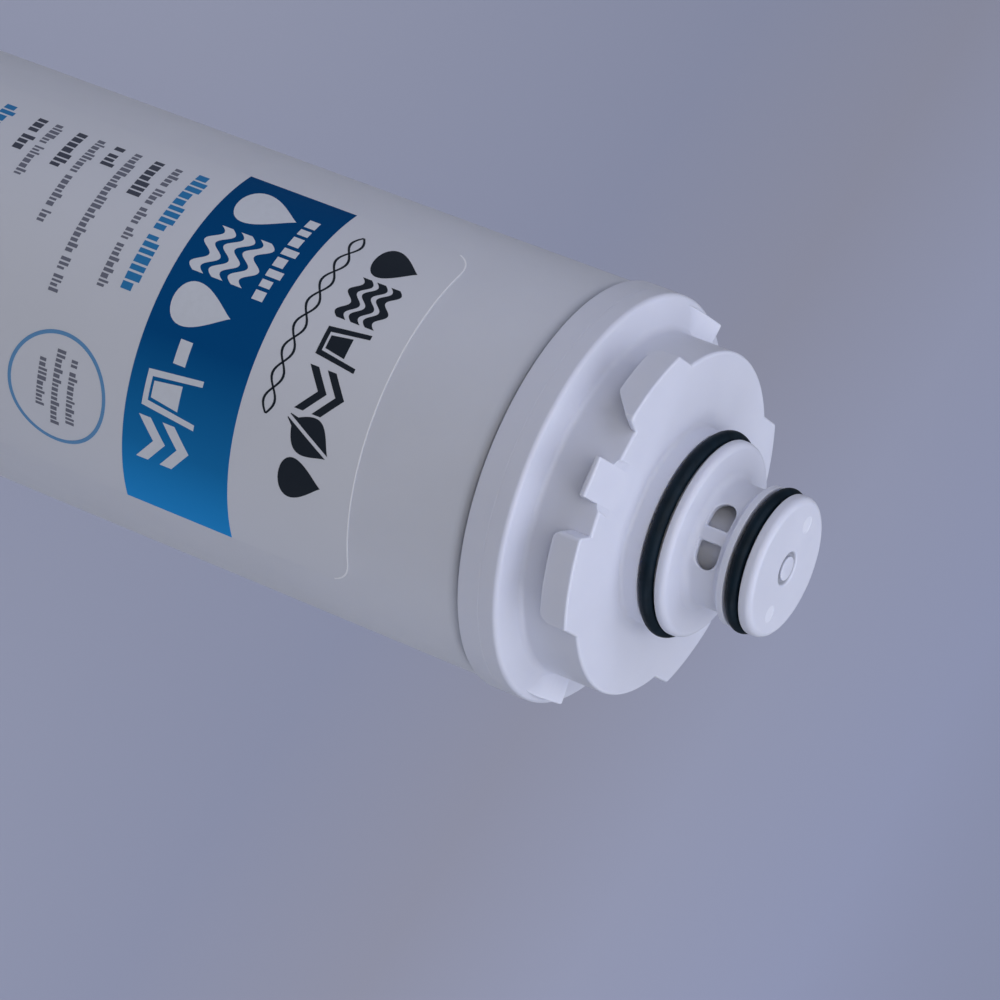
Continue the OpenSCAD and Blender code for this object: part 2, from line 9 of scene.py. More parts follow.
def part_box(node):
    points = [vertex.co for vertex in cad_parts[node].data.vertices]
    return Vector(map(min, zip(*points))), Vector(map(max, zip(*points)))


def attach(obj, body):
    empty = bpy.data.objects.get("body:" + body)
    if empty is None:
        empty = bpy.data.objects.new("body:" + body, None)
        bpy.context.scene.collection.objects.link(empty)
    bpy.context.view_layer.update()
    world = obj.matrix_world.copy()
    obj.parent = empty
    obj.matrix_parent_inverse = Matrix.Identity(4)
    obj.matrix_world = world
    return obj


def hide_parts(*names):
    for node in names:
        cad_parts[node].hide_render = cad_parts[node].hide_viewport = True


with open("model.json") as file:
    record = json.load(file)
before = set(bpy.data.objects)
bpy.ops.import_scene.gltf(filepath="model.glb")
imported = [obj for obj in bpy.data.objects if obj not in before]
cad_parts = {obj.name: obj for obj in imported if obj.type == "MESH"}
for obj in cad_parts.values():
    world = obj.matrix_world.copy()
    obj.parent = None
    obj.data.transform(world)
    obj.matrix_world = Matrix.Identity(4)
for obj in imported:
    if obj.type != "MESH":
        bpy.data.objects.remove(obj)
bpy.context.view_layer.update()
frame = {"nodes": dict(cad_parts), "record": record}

MM = 0.001
mounts = {mount["name"]: mount for mount in frame["record"]["mounts"]}


def box_mm(node):
    """Lowest and highest corner of a solid of the frame, in millimetres."""
    low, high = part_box(node)
    return low / MM, high / MM


def mount_mm(name):
    """Radius and length of a mount, in millimetres."""
    dims = mounts[name]["dims"]
    return dims["r_mm"], dims["length_mm"]


# Housing, head and label, from the frame
rim_h = 6.2
housing_top = box_mm("housing_sump")[1].z
seam_z = housing_top - rim_h
housing_r = mount_mm("housing_wall")[0]
collar_r = box_mm("head_cap")[1].x
tip_z = box_mm("head_cap")[1].z - seam_z
label_low, label_high = box_mm("label")
film_r = -label_low.y

# Housing, with heights above the foot
wall = 2.4
floor_t = 3.0
base_round = 4.0
foot_w = 9.0
foot_recess = 1.2
rim_t = 1.4
seam_lift = 1.1
seam_gap = 0.5
shoulder_z = seam_z + seam_lift - seam_gap

# Head, with heights above the seam
lug_r, lug_t = mount_mm("bayonet_lugs")
land_r = mount_mm("spigot_large_seal")[0]
tip_r = mount_mm("spigot_small_seal")[0]
tongue_h = 5.0
tongue_t = 2.2
collar_h = 9.3
collar_rise = 0.9
cone_slope = 0.18
parting_z = 5.4
parting_d = 0.05
neck_r = 32.5
neck_wall = 3.0
disc_z = 21.8
disc_t = 3.4
face_z = 30.7
stem_r = 11.6
stem_top = 36.8
passage_r = 8.4
chamber_r = 10.4
chamber_low = 26.3
chamber_high = 37.0
post_r = 8.0
post_low = 29.0
post_bore_r = 5.6
tip_wall = 3.0
nub_r = 2.2
dimple_r = 3.4
dimple_deep = 0.55
mark_r = 1.6
mark_reach = 8.5
socket_r = 10.1
socket_wall = 2.5
socket_deep = 18.0
socket_stop = 2.0
seal_side = 0.45
seal_under = 0.05

# Lugs, key block and cams. Angles are counted from the key, and the cams' from the far side.
key_angle = -90.0
lug_near_blunt = 16.6
lug_near_slant = 18.6
lug_far = 44.8
lug_root = 52.4
lug_corner = 0.9
key_w = 7.4
key_reach = 37.6
key_t = 1.1
key_fall = 1.3
seat_drop = 0.4
seat_in = 25.2
cam_angle = 80.5
cam_h = 3.3
cam_rise = 10.5
cam_back = 1.6
cam_r = 37.6

# Openings
slot_z = face_z + 0.6 * (stem_top - face_z)
slot_h = 4.3
slot_half_w = 6.06
slot_bar = 2.63
port_in = 21.5
port_out = 27.5
port_span = 24.0
port_bar = 8.0

# Print, with u round the wall from the label's middle and v up from the foot
label_turn = math.radians(4)
label_w = 72.8
label_round = 5.5
ink_t = 0.015
print_r = film_r + 0.005
strip_w = 1.0
margin_u = -30.7
band_low = 173.4
band_high = 196.7
band_half_w = 36.3

# Camera, fitted to the circles of the head in the photograph
camera_place = Vector((0.04889, -0.72611, 0.57399))
camera_aim = Vector((-0.05175, 0.90418, -0.42401))
camera_roll = math.radians(111.59)
camera_lens = 159.9
camera_sensor = 36.0

# Colours as linear values
HOUSING_WHITE = (0.655, 0.675, 0.745)
HEAD_WHITE = (0.66, 0.68, 0.77)
FILM_WHITE = (0.655, 0.675, 0.745)
# Painted sheen: the tip's two round marks are made lighter than the head's white.
MARK_SHEEN = (0.74, 0.76, 0.84)
# Painted shade: the housing wall is darkened towards the joint under the collar's overhang.
JOINT_SHADE = (0.45, 0.47, 0.53)
# Painted shade in the groove round the tip's nub.
GROOVE_SHADE = (0.36, 0.375, 0.43)
INNER_WHITE = (0.74, 0.74, 0.70)
RUBBER = (0.003, 0.010, 0.017)
NAVY = (0.001, 0.056, 0.182)
SEA_BLUE = (0.020, 0.30, 0.73)
INK_BLACK = (0.008, 0.014, 0.024)
INK_WHITE = (0.66, 0.69, 0.76)
# Painted highlight on the film's cut edge, brighter than the film itself.
FILM_EDGE_HIGHLIGHT = (0.90, 0.91, 0.95)
INK_BLUE = (0.022, 0.20, 0.46)
INK_GREY = (0.16, 0.17, 0.22)
INK_DARK = (0.060, 0.068, 0.098)
INK_SKY = (0.12, 0.30, 0.55)
FLOOR_BOUNCE = (0.38, 0.38, 0.38)
# The floor as the camera sees it, from near to far
FLOOR_NEAR = 0.2
FLOOR_FAR = 0.95
BACKDROP_SEEN = (0.262, 0.290, 0.415)
BACKDROP_NEAR = 0.95
BACKDROP_FAR = 1.5
FLOOR_SEEN = [
    (0.0, (0.385, 0.400, 0.480)), (0.33, (0.378, 0.400, 0.505)), (0.53, (0.435, 0.440, 0.520)),
    (0.73, (0.510, 0.535, 0.670)), (1.0, (0.545, 0.585, 0.775))]


def rgba(colour):
    return (*colour, 1.0)


class Finish:
    """A material's node tree, with short calls for the nodes that the finishes share."""

    def __init__(self, name, colour, roughness):
        self.material = bpy.data.materials.new(name)
        self.material.use_nodes = True
        self.tree = self.material.node_tree
        self.shader = self.tree.nodes["Principled BSDF"]
        self.shader.inputs["Base Color"].default_value = rgba(colour)
        self.shader.inputs["Roughness"].default_value = roughness
        self.where = self.add("ShaderNodeTexCoord").outputs["Object"]

    def add(self, kind, **settings):
        node = self.tree.nodes.new(kind)
        for key, value in settings.items():
            setattr(node, key, value)
        return node

    def link(self, out, into):
        self.tree.links.new(out, into)

    def set(self, socket, value):
        self.shader.inputs[socket].default_value = value

    def noise(self, scale, detail=3.0, roughness=0.55, stretch=(1, 1, 1)):
        mapping = self.add("ShaderNodeMapping")
        mapping.inputs["Scale"].default_value = stretch
        self.link(self.where, mapping.inputs["Vector"])
        node = self.add("ShaderNodeTexNoise")
        node.inputs["Scale"].default_value = scale
        node.inputs["Detail"].default_value = detail
        node.inputs["Roughness"].default_value = roughness
        self.link(mapping.outputs["Vector"], node.inputs["Vector"])
        return node.outputs["Fac"]

    def ramp(self, fac, stops):
        node = self.add("ShaderNodeValToRGB")
        while len(node.color_ramp.elements) < len(stops):
            node.color_ramp.elements.new(0.5)
        for element, (place, colour) in zip(node.color_ramp.elements, stops):
            element.position = place
            element.color = rgba(colour)
        self.link(fac, node.inputs["Fac"])
        return node.outputs["Color"]

    def spread(self, fac, low, high):
        """The noise from 0.3 to 0.7 as a value from low to high."""
        node = self.add("ShaderNodeMapRange")
        node.inputs["From Min"].default_value = 0.3
        node.inputs["From Max"].default_value = 0.7
        node.inputs["To Min"].default_value = low
        node.inputs["To Max"].default_value = high
        self.link(fac, node.inputs["Value"])
        return node.outputs["Result"]

    def bump(self, height, depth, strength=1.0, after=None):
        node = self.add("ShaderNodeBump")
        node.inputs["Strength"].default_value = strength
        node.inputs["Distance"].default_value = depth
        self.link(height, node.inputs["Height"])
        if after is not None:
            self.link(after, node.inputs["Normal"])
        self.link(node.outputs["Normal"], self.shader.inputs["Normal"])
        return node.outputs["Normal"]

    def mottle(self, colour, scale, amount):
        """The base colour with a slow, faint change of tone."""
        darker = tuple(c * (1 - amount) for c in colour)
        lighter = tuple(min(c * (1 + amount), 1.0) for c in colour)
        tone = self.ramp(self.noise(scale), [(0.3, darker), (0.7, lighter)])
        self.link(tone, self.shader.inputs["Base Color"])
        return tone


def moulded_plastic(name, colour, roughness, glow_mm, detail=None):
    """Satin polypropylene: a faint flow pattern, fine grain and light that travels under the skin."""
    f = Finish(name, colour, roughness)
    tone = f.mottle(colour, 45.0, 0.018)
    if detail:
        f.link(detail(f, tone), f.shader.inputs["Base Color"])
    f.link(f.spread(f.noise(160.0), roughness - 0.05, roughness + 0.06), f.shader.inputs["Roughness"])
    slow = f.bump(f.noise(60.0, 2.0), 0.05 * MM, 0.35)
    f.bump(f.noise(1500.0, 2.0), 0.012 * MM, 0.35, after=slow)
    f.set("Subsurface Weight", 1.0 if glow_mm else 0.0)
    f.set("Subsurface Radius", (0.9, 0.95, 1.0))
    f.set("Subsurface Scale", glow_mm * MM)
    return f.material


def tip_sheen_and_shade(f, tone):
    """The colour, with a painted sheen that lightens the two round marks of the tip and painted shade that darkens the
    groove around its nub.
    """
    split = f.add("ShaderNodeSeparateXYZ")
    f.link(f.where, split.inputs["Vector"])
    side = f.add("ShaderNodeMath", operation="ABSOLUTE")
    f.link(split.outputs["X"], side.inputs[0])
    place = f.add("ShaderNodeCombineXYZ")
    f.link(side.outputs[0], place.inputs["X"])
    f.link(split.outputs["Y"], place.inputs["Y"])
    f.link(split.outputs["Z"], place.inputs["Z"])
    away = f.add("ShaderNodeVectorMath", operation="DISTANCE")
    f.link(place.outputs[0], away.inputs[0])
    away.inputs[1].default_value = (mark_reach * MM, 0.5 * MM, (seam_z + tip_z) * MM)
    inside = f.add("ShaderNodeMapRange")
    inside.inputs["From Min"].default_value = (mark_r + 0.1) * MM
    inside.inputs["From Max"].default_value = (mark_r - 0.1) * MM
    f.link(away.outputs["Value"], inside.inputs["Value"])
    # Painted sheen on the two round marks.
    mixed = f.add("ShaderNodeMix", data_type="RGBA")
    f.link(inside.outputs["Result"], mixed.inputs["Factor"])
    f.link(tone, mixed.inputs["A"])
    mixed.inputs["B"].default_value = rgba(MARK_SHEEN)
    from_nub = f.add("ShaderNodeVectorMath", operation="DISTANCE")
    f.link(f.where, from_nub.inputs[0])
    from_nub.inputs[1].default_value = (0, 0, (seam_z + tip_z) * MM)
    around = f.add("ShaderNodeMapRange")
    around.inputs["From Min"].default_value = (dimple_r + 0.3) * MM
    around.inputs["From Max"].default_value = (dimple_r + 0.2) * MM
    f.link(from_nub.outputs["Value"], around.inputs["Value"])
    sunk = f.add("ShaderNodeMapRange")
    sunk.inputs["From Min"].default_value = (seam_z + tip_z - 0.1) * MM
    sunk.inputs["From Max"].default_value = (seam_z + tip_z - 0.35) * MM
    f.link(split.outputs["Z"], sunk.inputs["Value"])
    shade_in_groove = f.add("ShaderNodeMath", operation="MULTIPLY")
    f.link(around.outputs["Result"], shade_in_groove.inputs[0])
    f.link(sunk.outputs["Result"], shade_in_groove.inputs[1])
    # Painted shade in the groove round the nub.
    darker = f.add("ShaderNodeMix", data_type="RGBA")
    f.link(shade_in_groove.outputs[0], darker.inputs["Factor"])
    f.link(mixed.outputs["Result"], darker.inputs["A"])
    darker.inputs["B"].default_value = rgba(GROOVE_SHADE)
    return darker.outputs["Result"]


def joint_shade_tone(f, tone):
    """The colour, with painted shade that darkens it towards the open joint under the collar, where the collar's
    overhang shades the wall.
    """
    split = f.add("ShaderNodeSeparateXYZ")
    f.link(f.where, split.inputs["Vector"])
    near = f.add("ShaderNodeMapRange", interpolation_type="SMOOTHSTEP")
    near.inputs["From Min"].default_value = (shoulder_z - 2.4) * MM
    near.inputs["From Max"].default_value = (shoulder_z + 0.1) * MM
    f.link(split.outputs["Z"], near.inputs["Value"])
    # Painted shade, strongest at the joint.
    mixed = f.add("ShaderNodeMix", data_type="RGBA")
    f.link(near.outputs["Result"], mixed.inputs["Factor"])
    f.link(tone, mixed.inputs["A"])
    mixed.inputs["B"].default_value = rgba(JOINT_SHADE)
    return mixed.outputs["Result"]


def label_film():
    """Satin film that shows the wall's unevenness."""
    f = Finish("label_film", FILM_WHITE, 0.42)
    f.mottle(FILM_WHITE, 30.0, 0.012)
    slow = f.bump(f.noise(90.0, 2.0), 0.05 * MM, 0.4)
    f.bump(f.noise(900.0, 2.0), 0.01 * MM, 0.4, after=slow)
    f.set("Coat Weight", 0.12)
    f.set("Coat Roughness", 0.3)
    return f.material


def seal_rubber():
    """Moulded black rubber with a dull bloom."""
    f = Finish("seal_rubber", RUBBER, 0.5)
    f.mottle(RUBBER, 300.0, 0.3)
    f.link(f.spread(f.noise(500.0), 0.42, 0.6), f.shader.inputs["Roughness"])
    f.bump(f.noise(2600.0, 2.0), 0.01 * MM, 0.4)
    f.set("Specular IOR Level", 0.13)
    return f.material


def ink(name, colour, roughness=0.45):
    """Screen ink: nearly flat, with a faint unevenness from the press."""
    f = Finish(name, colour, roughness)
    f.mottle(colour, 700.0, 0.02)
    f.link(f.spread(f.noise(400.0), roughness - 0.05, roughness + 0.08), f.shader.inputs["Roughness"])
    f.set("Specular IOR Level", 0.25)
    return f.material


def band_ink():
    """The band's blue, which runs from navy on one side to a lighter blue on the other."""
    f = Finish("band_ink", NAVY, 0.45)
    split = f.add("ShaderNodeSeparateXYZ")
    f.link(f.where, split.inputs["Vector"])
    across = f.add("ShaderNodeMapRange")
    across.inputs["From Min"].default_value = -housing_r * MM
    across.inputs["From Max"].default_value = housing_r * MM
    f.link(split.outputs["X"], across.inputs["Value"])
    middle = tuple(1.35 * c for c in NAVY)
    bright = tuple(0.5 * (a + b) for a, b in zip(NAVY, SEA_BLUE))
    stops = [(0.10, NAVY), (0.55, middle), (0.80, bright), (0.93, SEA_BLUE)]
    f.link(f.ramp(across.outputs["Result"], stops), f.shader.inputs["Base Color"])
    f.link(f.spread(f.noise(400.0), 0.4, 0.52), f.shader.inputs["Roughness"])
    f.set("Specular IOR Level", 0.02)
    return f.material


def carbon():
    """Sintered carbon grains."""
    f = Finish("carbon_grain", (0.012, 0.012, 0.013), 0.85)
    grain = f.noise(1800.0, 4.0, 0.7)
    stops = [(0.35, (0.004, 0.004, 0.005)), (0.7, (0.035, 0.035, 0.037))]
    f.link(f.ramp(grain, stops), f.shader.inputs["Base Color"])
    f.bump(grain, 0.3 * MM, 0.8)
    return f.material


def fleece():
    """Soft white fibre felt."""
    f = Finish("fibre_fleece", (0.80, 0.80, 0.79), 0.95)
    fibres = f.noise(900.0, 5.0, 0.75, stretch=(1, 1, 0.25))
    stops = [(0.3, (0.66, 0.66, 0.65)), (0.7, (0.86, 0.86, 0.85))]
    f.link(f.ramp(fibres, stops), f.shader.inputs["Base Color"])
    f.bump(fibres, 0.2 * MM, 0.7)
    f.set("Sheen Weight", 0.3)
    return f.material


def glue():
    """Amber hot-melt glue."""
    f = Finish("hot_glue", (0.62, 0.47, 0.24), 0.35)
    f.mottle((0.62, 0.47, 0.24), 220.0, 0.12)
    f.bump(f.noise(200.0), 0.1 * MM, 0.5)
    return f.material


def dress(node, material):
    """Gives a solid of the frame its finish."""
    slots = frame["nodes"][node].data.materials
    slots.clear()
    slots.append(material)


def show(name, mesh):
    made = bpy.data.objects.new(name, mesh)
    bpy.context.scene.collection.objects.link(made)
    return made


def settled(made):
    """The mesh of an object with its modifiers applied. The object is removed."""
    bpy.context.view_layer.update()
    graph = bpy.context.evaluated_depsgraph_get()
    mesh = bpy.data.meshes.new_from_object(made.evaluated_get(graph))
    bpy.data.objects.remove(made)
    return mesh


def piece(name, mesh, material, node=None):
    """A finished mesh as a piece of the one rigid body, which may stand for a solid of the frame."""
    mesh.materials.clear()
    mesh.materials.append(material)
    made = show(name, mesh)
    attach(made, "root")
    if node:
        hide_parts(node)
    return made


class GeometryTree:
    """A Geometry Nodes tree with named inputs, and short calls for its nodes."""

    def __init__(self, name, inputs):
        self.tree = bpy.data.node_groups.new(name, "GeometryNodeTree")
        face = self.tree.interface
        face.new_socket("Geometry", in_out="INPUT", socket_type="NodeSocketGeometry")
        for label, kind in inputs.items():
            face.new_socket(label, in_out="INPUT", socket_type="NodeSocket" + kind)
        face.new_socket("Geometry", in_out="OUTPUT", socket_type="NodeSocketGeometry")
        self.given = self.tree.nodes.new("NodeGroupInput").outputs
        self.result = self.tree.nodes.new("NodeGroupOutput").inputs["Geometry"]

    def add(self, kind, values=None, **settings):
        node = self.tree.nodes.new(kind)
        for key, value in settings.items():
            setattr(node, key, value)
        for key, value in (values or {}).items():
            self.feed(node.inputs[key], value)
        return node

    def feed(self, socket, value):
        if isinstance(value, bpy.types.NodeSocket):
            self.tree.links.new(value, socket)
        else:
            socket.default_value = value

    def math(self, operation, *values):
        node = self.add("ShaderNodeMath", operation=operation)
        for socket, value in zip(node.inputs, values):
            self.feed(socket, value)
        return node.outputs[0]

    def run(self, mesh, values):
        """The plain mesh that the tree makes of a mesh and a value for each named input."""
        made = show("draft", mesh)
        modifier = made.modifiers.new("tree", "NODES")
        modifier.node_group = self.tree
        sockets = {s.name: s.identifier for s in self.tree.interface.items_tree if s.in_out == "INPUT"}
        for label, value in values.items():
            modifier[sockets[label]] = value
        return settled(made)


def turning_tree():
    """Turns an outline of (radius, height) points about the axis, and closes seam and poles."""
    g = GeometryTree("turned_body", {"Steps": "Int", "Material": "Material"})
    size = g.add("GeometryNodeAttributeDomainSize", {"Geometry": g.given["Geometry"]})
    points = size.outputs["Point Count"]
    rows = g.math("ADD", g.given["Steps"], 1)
    grid = g.add("GeometryNodeMeshGrid", {"Vertices X": rows, "Vertices Y": points})
    index = g.add("GeometryNodeInputIndex").outputs["Index"]
    place = g.add("GeometryNodeSampleIndex", data_type="FLOAT_VECTOR", domain="POINT")
    g.feed(place.inputs["Geometry"], g.given["Geometry"])
    g.feed(place.inputs["Value"], g.add("GeometryNodeInputPosition").outputs["Position"])
    g.feed(place.inputs["Index"], g.math("MODULO", index, points))
    step = g.math("FLOOR", g.math("DIVIDE", index, points))
    turn = g.math("DIVIDE", g.math("MULTIPLY", step, 2 * math.pi), g.given["Steps"])
    spin = g.add("ShaderNodeVectorRotate", {"Vector": place.outputs["Value"], "Angle": turn})
    moved = g.add("GeometryNodeSetPosition", {"Geometry": grid.outputs["Mesh"], "Position": spin.outputs[0]})
    merged = g.add("GeometryNodeMergeByDistance", {"Geometry": moved.outputs[0], "Distance": 1e-4})
    dressed = g.add("GeometryNodeSetMaterial", {"Geometry": merged.outputs[0], "Material": g.given["Material"]})
    g.feed(g.result, dressed.outputs[0])
    return g


def rounded(corners, steps=6):
    """A closed outline in which each (x, y, radius) corner becomes an arc."""
    points = []
    for before, corner, after in zip(corners[-1:] + corners[:-1], corners, corners[1:] + corners[:1]):
        here = Vector(corner[:2])
        radius = corner[2] if len(corner) > 2 else 0
        if radius == 0:
            points.append(here)
            continue
        back = (Vector(before[:2]) - here).normalized()
        ahead = (Vector(after[:2]) - here).normalized()
        half = back.angle(ahead) / 2
        centre = here + (back + ahead).normalized() * radius / math.sin(half)
        first = here + back * radius / math.tan(half) - centre
        last = here + ahead * radius / math.tan(half) - centre
        for step in range(steps + 1):
            points.append(centre + first.slerp(last, step / steps).normalized() * radius)
    return points


def outward(bm):
    """Recalculates the normals of a closed form so that they point out of it."""
    bmesh.ops.recalc_face_normals(bm, faces=bm.faces)
    if bm.calc_volume(signed=True) < 0:
        bmesh.ops.reverse_faces(bm, faces=bm.faces)


def as_mesh(bm, name):
    mesh = bpy.data.meshes.new(name)
    bm.to_mesh(mesh)
    bm.free()
    return mesh


def turned(name, outline, steps=180):
    """A solid of revolution from an outline that starts and ends on the axis."""
    chain = bpy.data.meshes.new(name + "_outline")
    points = [(r, 0, z) for r, z in outline]
    chain.from_pydata(points, [(i, i + 1) for i in range(len(points) - 1)], [])
    mesh = turning.run(chain, {"Steps": steps})
    bm = bmesh.new()
    bm.from_mesh(mesh)
    bmesh.ops.remove_doubles(bm, verts=bm.verts, dist=1e-4)
    outward(bm)
    return as_mesh(bm, name)


def loft(name, sections):
    """A closed solid through sections that have the same number of points."""
    bm = bmesh.new()
    rings = [[bm.verts.new(point) for point in section] for section in sections]
    bm.faces.new(rings[0])
    bm.faces.new(list(reversed(rings[-1])))
    for low, high in zip(rings, rings[1:]):
        for i in range(len(low)):
            bm.faces.new((low[i - 1], low[i], high[i], high[i - 1]))
    outward(bm)
    return as_mesh(bm, name)


def bent_block(name, outline, inner_r, outer_r, heading, side, soft=0.4, measured_at=None):
    """A block with a side view of (distance round the axis, height) points, bent round the axis.

    It starts at a heading in degrees and runs to one side of it. Distances are measured on its
    outer face unless another radius is given. The rim of its outer face is softened.
    """
    bm = bmesh.new()
    inner = [bm.verts.new((x, inner_r, z)) for x, z in outline]
    outer = [bm.verts.new((x, outer_r, z)) for x, z in outline]
    bm.faces.new(inner)
    front = bm.faces.new(list(reversed(outer)))
    for i in range(len(outline)):
        bm.faces.new((inner[i - 1], inner[i], outer[i], outer[i - 1]))
    outward(bm)
    if soft:
        bmesh.ops.bevel(bm, geom=front.edges[:], offset=soft, segments=3, profile=0.5, affect="EDGES")
    cut_in_strips(bm)
    for v in bm.verts:
        angle = math.radians(heading) + side * v.co.x / (measured_at or outer_r)
        v.co = Vector((v.co.y * math.cos(angle), v.co.y * math.sin(angle), v.co.z))
    outward(bm)
    return as_mesh(bm, name)


def cut_in_strips(bm):
    """Cuts a form across x at equal steps, so that it can be bent round the axis."""
    low = min(v.co.x for v in bm.verts)
    cuts = int((max(v.co.x for v in bm.verts) - low) / strip_w)
    for cut in range(1, cuts + 1):
        plane = (low + cut * strip_w, 0, 0)
        everything = bm.verts[:] + bm.edges[:] + bm.faces[:]
        bmesh.ops.bisect_plane(bm, geom=everything, plane_co=plane, plane_no=(1, 0, 0), dist=1e-4)


def inset(outline, depth):
    """A counter-clockwise outline moved inwards by a depth."""
    moved = []
    for before, here, after in zip(outline[-1:] + outline[:-1], outline, outline[1:] + outline[:1]):
        back = (here - before).normalized()
        ahead = (after - here).normalized()
        normals = Vector((-back.y, back.x)) + Vector((-ahead.y, ahead.x))
        moved.append(here + normals * depth / (1 + back.dot(ahead)))
    return moved


def carved(name, body, added=(), cut=(), kept=()):
    """The body with solids added to it, others cut out of it, and only what lies in the kept ones."""
    made = show(name, body)
    tools = []
    for operation, meshes in (("UNION", added), ("DIFFERENCE", cut), ("INTERSECT", kept)):
        for mesh in meshes:
            tool = show("tool", mesh)
            tools.append(tool)
            modifier = made.modifiers.new("carve", "BOOLEAN")
            modifier.solver = "MANIFOLD"
            modifier.operation = operation
            modifier.object = tool
    mesh = settled(made)
    for tool in tools:
        bpy.data.objects.remove(tool)
    return mesh


def finished(mesh, lift=0.0, crease=35.0):
    """A millimetre mesh in metres, lifted into place and shaded smooth up to the crease angle."""
    mesh.transform(Matrix.Scale(MM, 4) @ Matrix.Translation((0, 0, lift)))
    mesh.shade_smooth()
    mesh.set_sharp_from_angle(angle=math.radians(crease))
    made = show("draft", mesh)
    modifier = made.modifiers.new("normals", "WEIGHTED_NORMAL")
    modifier.keep_sharp = True
    return settled(made)


def housing():
    """The tall closed housing: foot ring, plain wall, and the rim that enters the head."""
    inner_r = housing_r - wall
    foot_r = housing_r - base_round - foot_w
    outline = rounded([
        (0, foot_recess), (foot_r, foot_recess, 0.4), (foot_r + foot_recess, 0, 0.5),
        (housing_r, 0, base_round), (housing_r, shoulder_z - 1.4, 3), (housing_r - 0.45, shoulder_z - 0.3, 0.6),
        (inner_r + rim_t, shoulder_z),
        (inner_r + rim_t, housing_top, 0.3), (inner_r, housing_top, 0.3), (inner_r, floor_t, 2), (0, floor_t),
    ])
    return finished(turned("housing", outline))


def groove(node):
    """Radius of the floor, lower edge and upper edge of the groove around a seal."""
    low, high = box_mm(node)
    cord = high.z - low.z
    return high.x - cord - seal_under, low.z - seal_side - seam_z, high.z + seal_side - seam_z


def head_body():
    """The head's turned form: collar, neck, disc, spigot, and the water space and socket inside."""
    large_floor, large_low, large_high = groove("spigot_seal_large")
    small_floor, small_low, small_high = groove("spigot_seal_small")
    groove_r = housing_r - wall + rim_t + 0.1
    tongue_r = housing_r - wall - 0.1
    hollow_r = tongue_r - tongue_t
    neck_ir = neck_r - neck_wall
    step_z = collar_h - neck_wall - 1
    neck_foot_z = collar_h + collar_rise
    collar_edge_z = neck_foot_z - cone_slope * (collar_r - neck_r)
    socket_or = socket_r + socket_wall
    return turned("head_body", rounded([
        (0, tip_z), (nub_r, tip_z, 0.06), (nub_r, tip_z - dimple_deep, 0.05),
        (dimple_r - 0.6, tip_z - dimple_deep, 0.2), (dimple_r, tip_z, 0.15), (tip_r, tip_z, 1.3), (tip_r, small_high, 0.12), (small_floor, small_high),
        (small_floor, small_low), (tip_r, small_low, 0.12), (tip_r, stem_top + 1.3, 0.3),
        (stem_r, stem_top, 0.8), (stem_r, face_z, 1.8), (land_r, face_z, 1.25),
        (land_r, large_high, 0.12), (large_floor, large_high), (large_floor, large_low),
        (land_r, large_low, 0.12), (land_r, disc_z, 0.9), (neck_r, disc_z, 0.55),
        (neck_r, neck_foot_z, 1.3), (collar_r, collar_edge_z, 1.0),
        (collar_r, parting_z + parting_d), (collar_r - parting_d, parting_z), (collar_r, parting_z - parting_d),
        (collar_r, seam_lift, 0.25), (groove_r, seam_lift, 0.1), (groove_r, rim_h + 0.1), (tongue_r, rim_h + 0.1),
        (tongue_r, -tongue_h, 0.4), (hollow_r, -tongue_h, 0.4), (hollow_r, step_z, 1),
        (neck_ir, step_z + hollow_r - neck_ir, 1), (neck_ir, disc_z - disc_t, 1), (socket_or, disc_z - disc_t, 0.6),
        (socket_or, -socket_deep, 0.4), (socket_r, -socket_deep, 0.6), (socket_r, socket_stop),
        (passage_r, socket_stop, 0.4), (passage_r, chamber_low - chamber_r + passage_r), (chamber_r, chamber_low),
        (chamber_r, chamber_high), (post_r, chamber_high + chamber_r - post_r), (post_r, post_low, 0.6),
        (post_bore_r, post_low, 0.6), (post_bore_r, tip_z - tip_wall, 0.6), (0, tip_z - tip_wall),
    ]))


def lug_plate(near, side, soft=0.45):
    """A lug seen from above, with rounded corners and a softened upper rim."""
    steps = 12
    reach = [near + (lug_far - near) * i / steps for i in range(steps + 1)]
    corners = [(neck_r - 1, near, 0), (lug_r, near, lug_corner)] + [(lug_r, a, 0) for a in reach[1:-1]]
    corners += [(lug_r, lug_far, 0.5), (neck_r, lug_root, 0), (neck_r - 1, lug_root, 0)]
    outline = rounded([(r * math.cos(math.radians(a)), r * math.sin(math.radians(a)), round_r)
                       for r, a, round_r in corners])
    sections = [(0, disc_z - lug_t)] + [
        (soft * (1 - math.cos(a)), disc_z - soft * (1 - math.sin(a)))
        for a in [math.pi / 2 * i / 4 for i in range(5)]]
    turn = Matrix.Rotation(math.radians(key_angle), 2) @ Matrix.Diagonal((1, side))
    plate = []
    for depth, z in sections:
        plate.append([(*(turn @ point), z) for point in inset(outline, depth)])
    return loft("lug", plate)


def lugs():
    """Four lugs in two pairs. One lug of a pair has a blunt near end, the other a slanted one."""
    low = disc_z - lug_t
    high = disc_z + 1
    past = 4.0
    made = []
    for side, near, slanted in ((1, lug_near_blunt, False), (-1, lug_near_slant, True)):
        end = math.radians(lug_far - near) * lug_r
        root = math.radians(lug_root - near) * lug_r + 1
        near_end = [(-0.02, high), (-0.02, disc_z - 1.1, 0.8), (4.6, low, 1.6)] if slanted else [
            (-0.02, high), (-0.02, low, 1.7)]
        far_end = [(end + 0.02, low, 2.4), (end + 0.02, disc_z - 2), (root, disc_z - 2), (root, high)]
        outline = rounded(near_end + far_end)
        form = bent_block("form", outline, neck_r - past, lug_r + 1, key_angle + side * near, side, 0, lug_r)
        one = carved("lug", lug_plate(near, side), kept=[form])
        other = one.copy()
        other.transform(Matrix.Rotation(math.pi, 4, "Z"))
        made += [one, other]
    return made


def seat_depth(r):
    """Depth of the seat's sloping floor below the disc at a distance from the axis."""
    return seat_drop + (key_fall - seat_drop) * (r - seat_in) / (key_reach - seat_in)


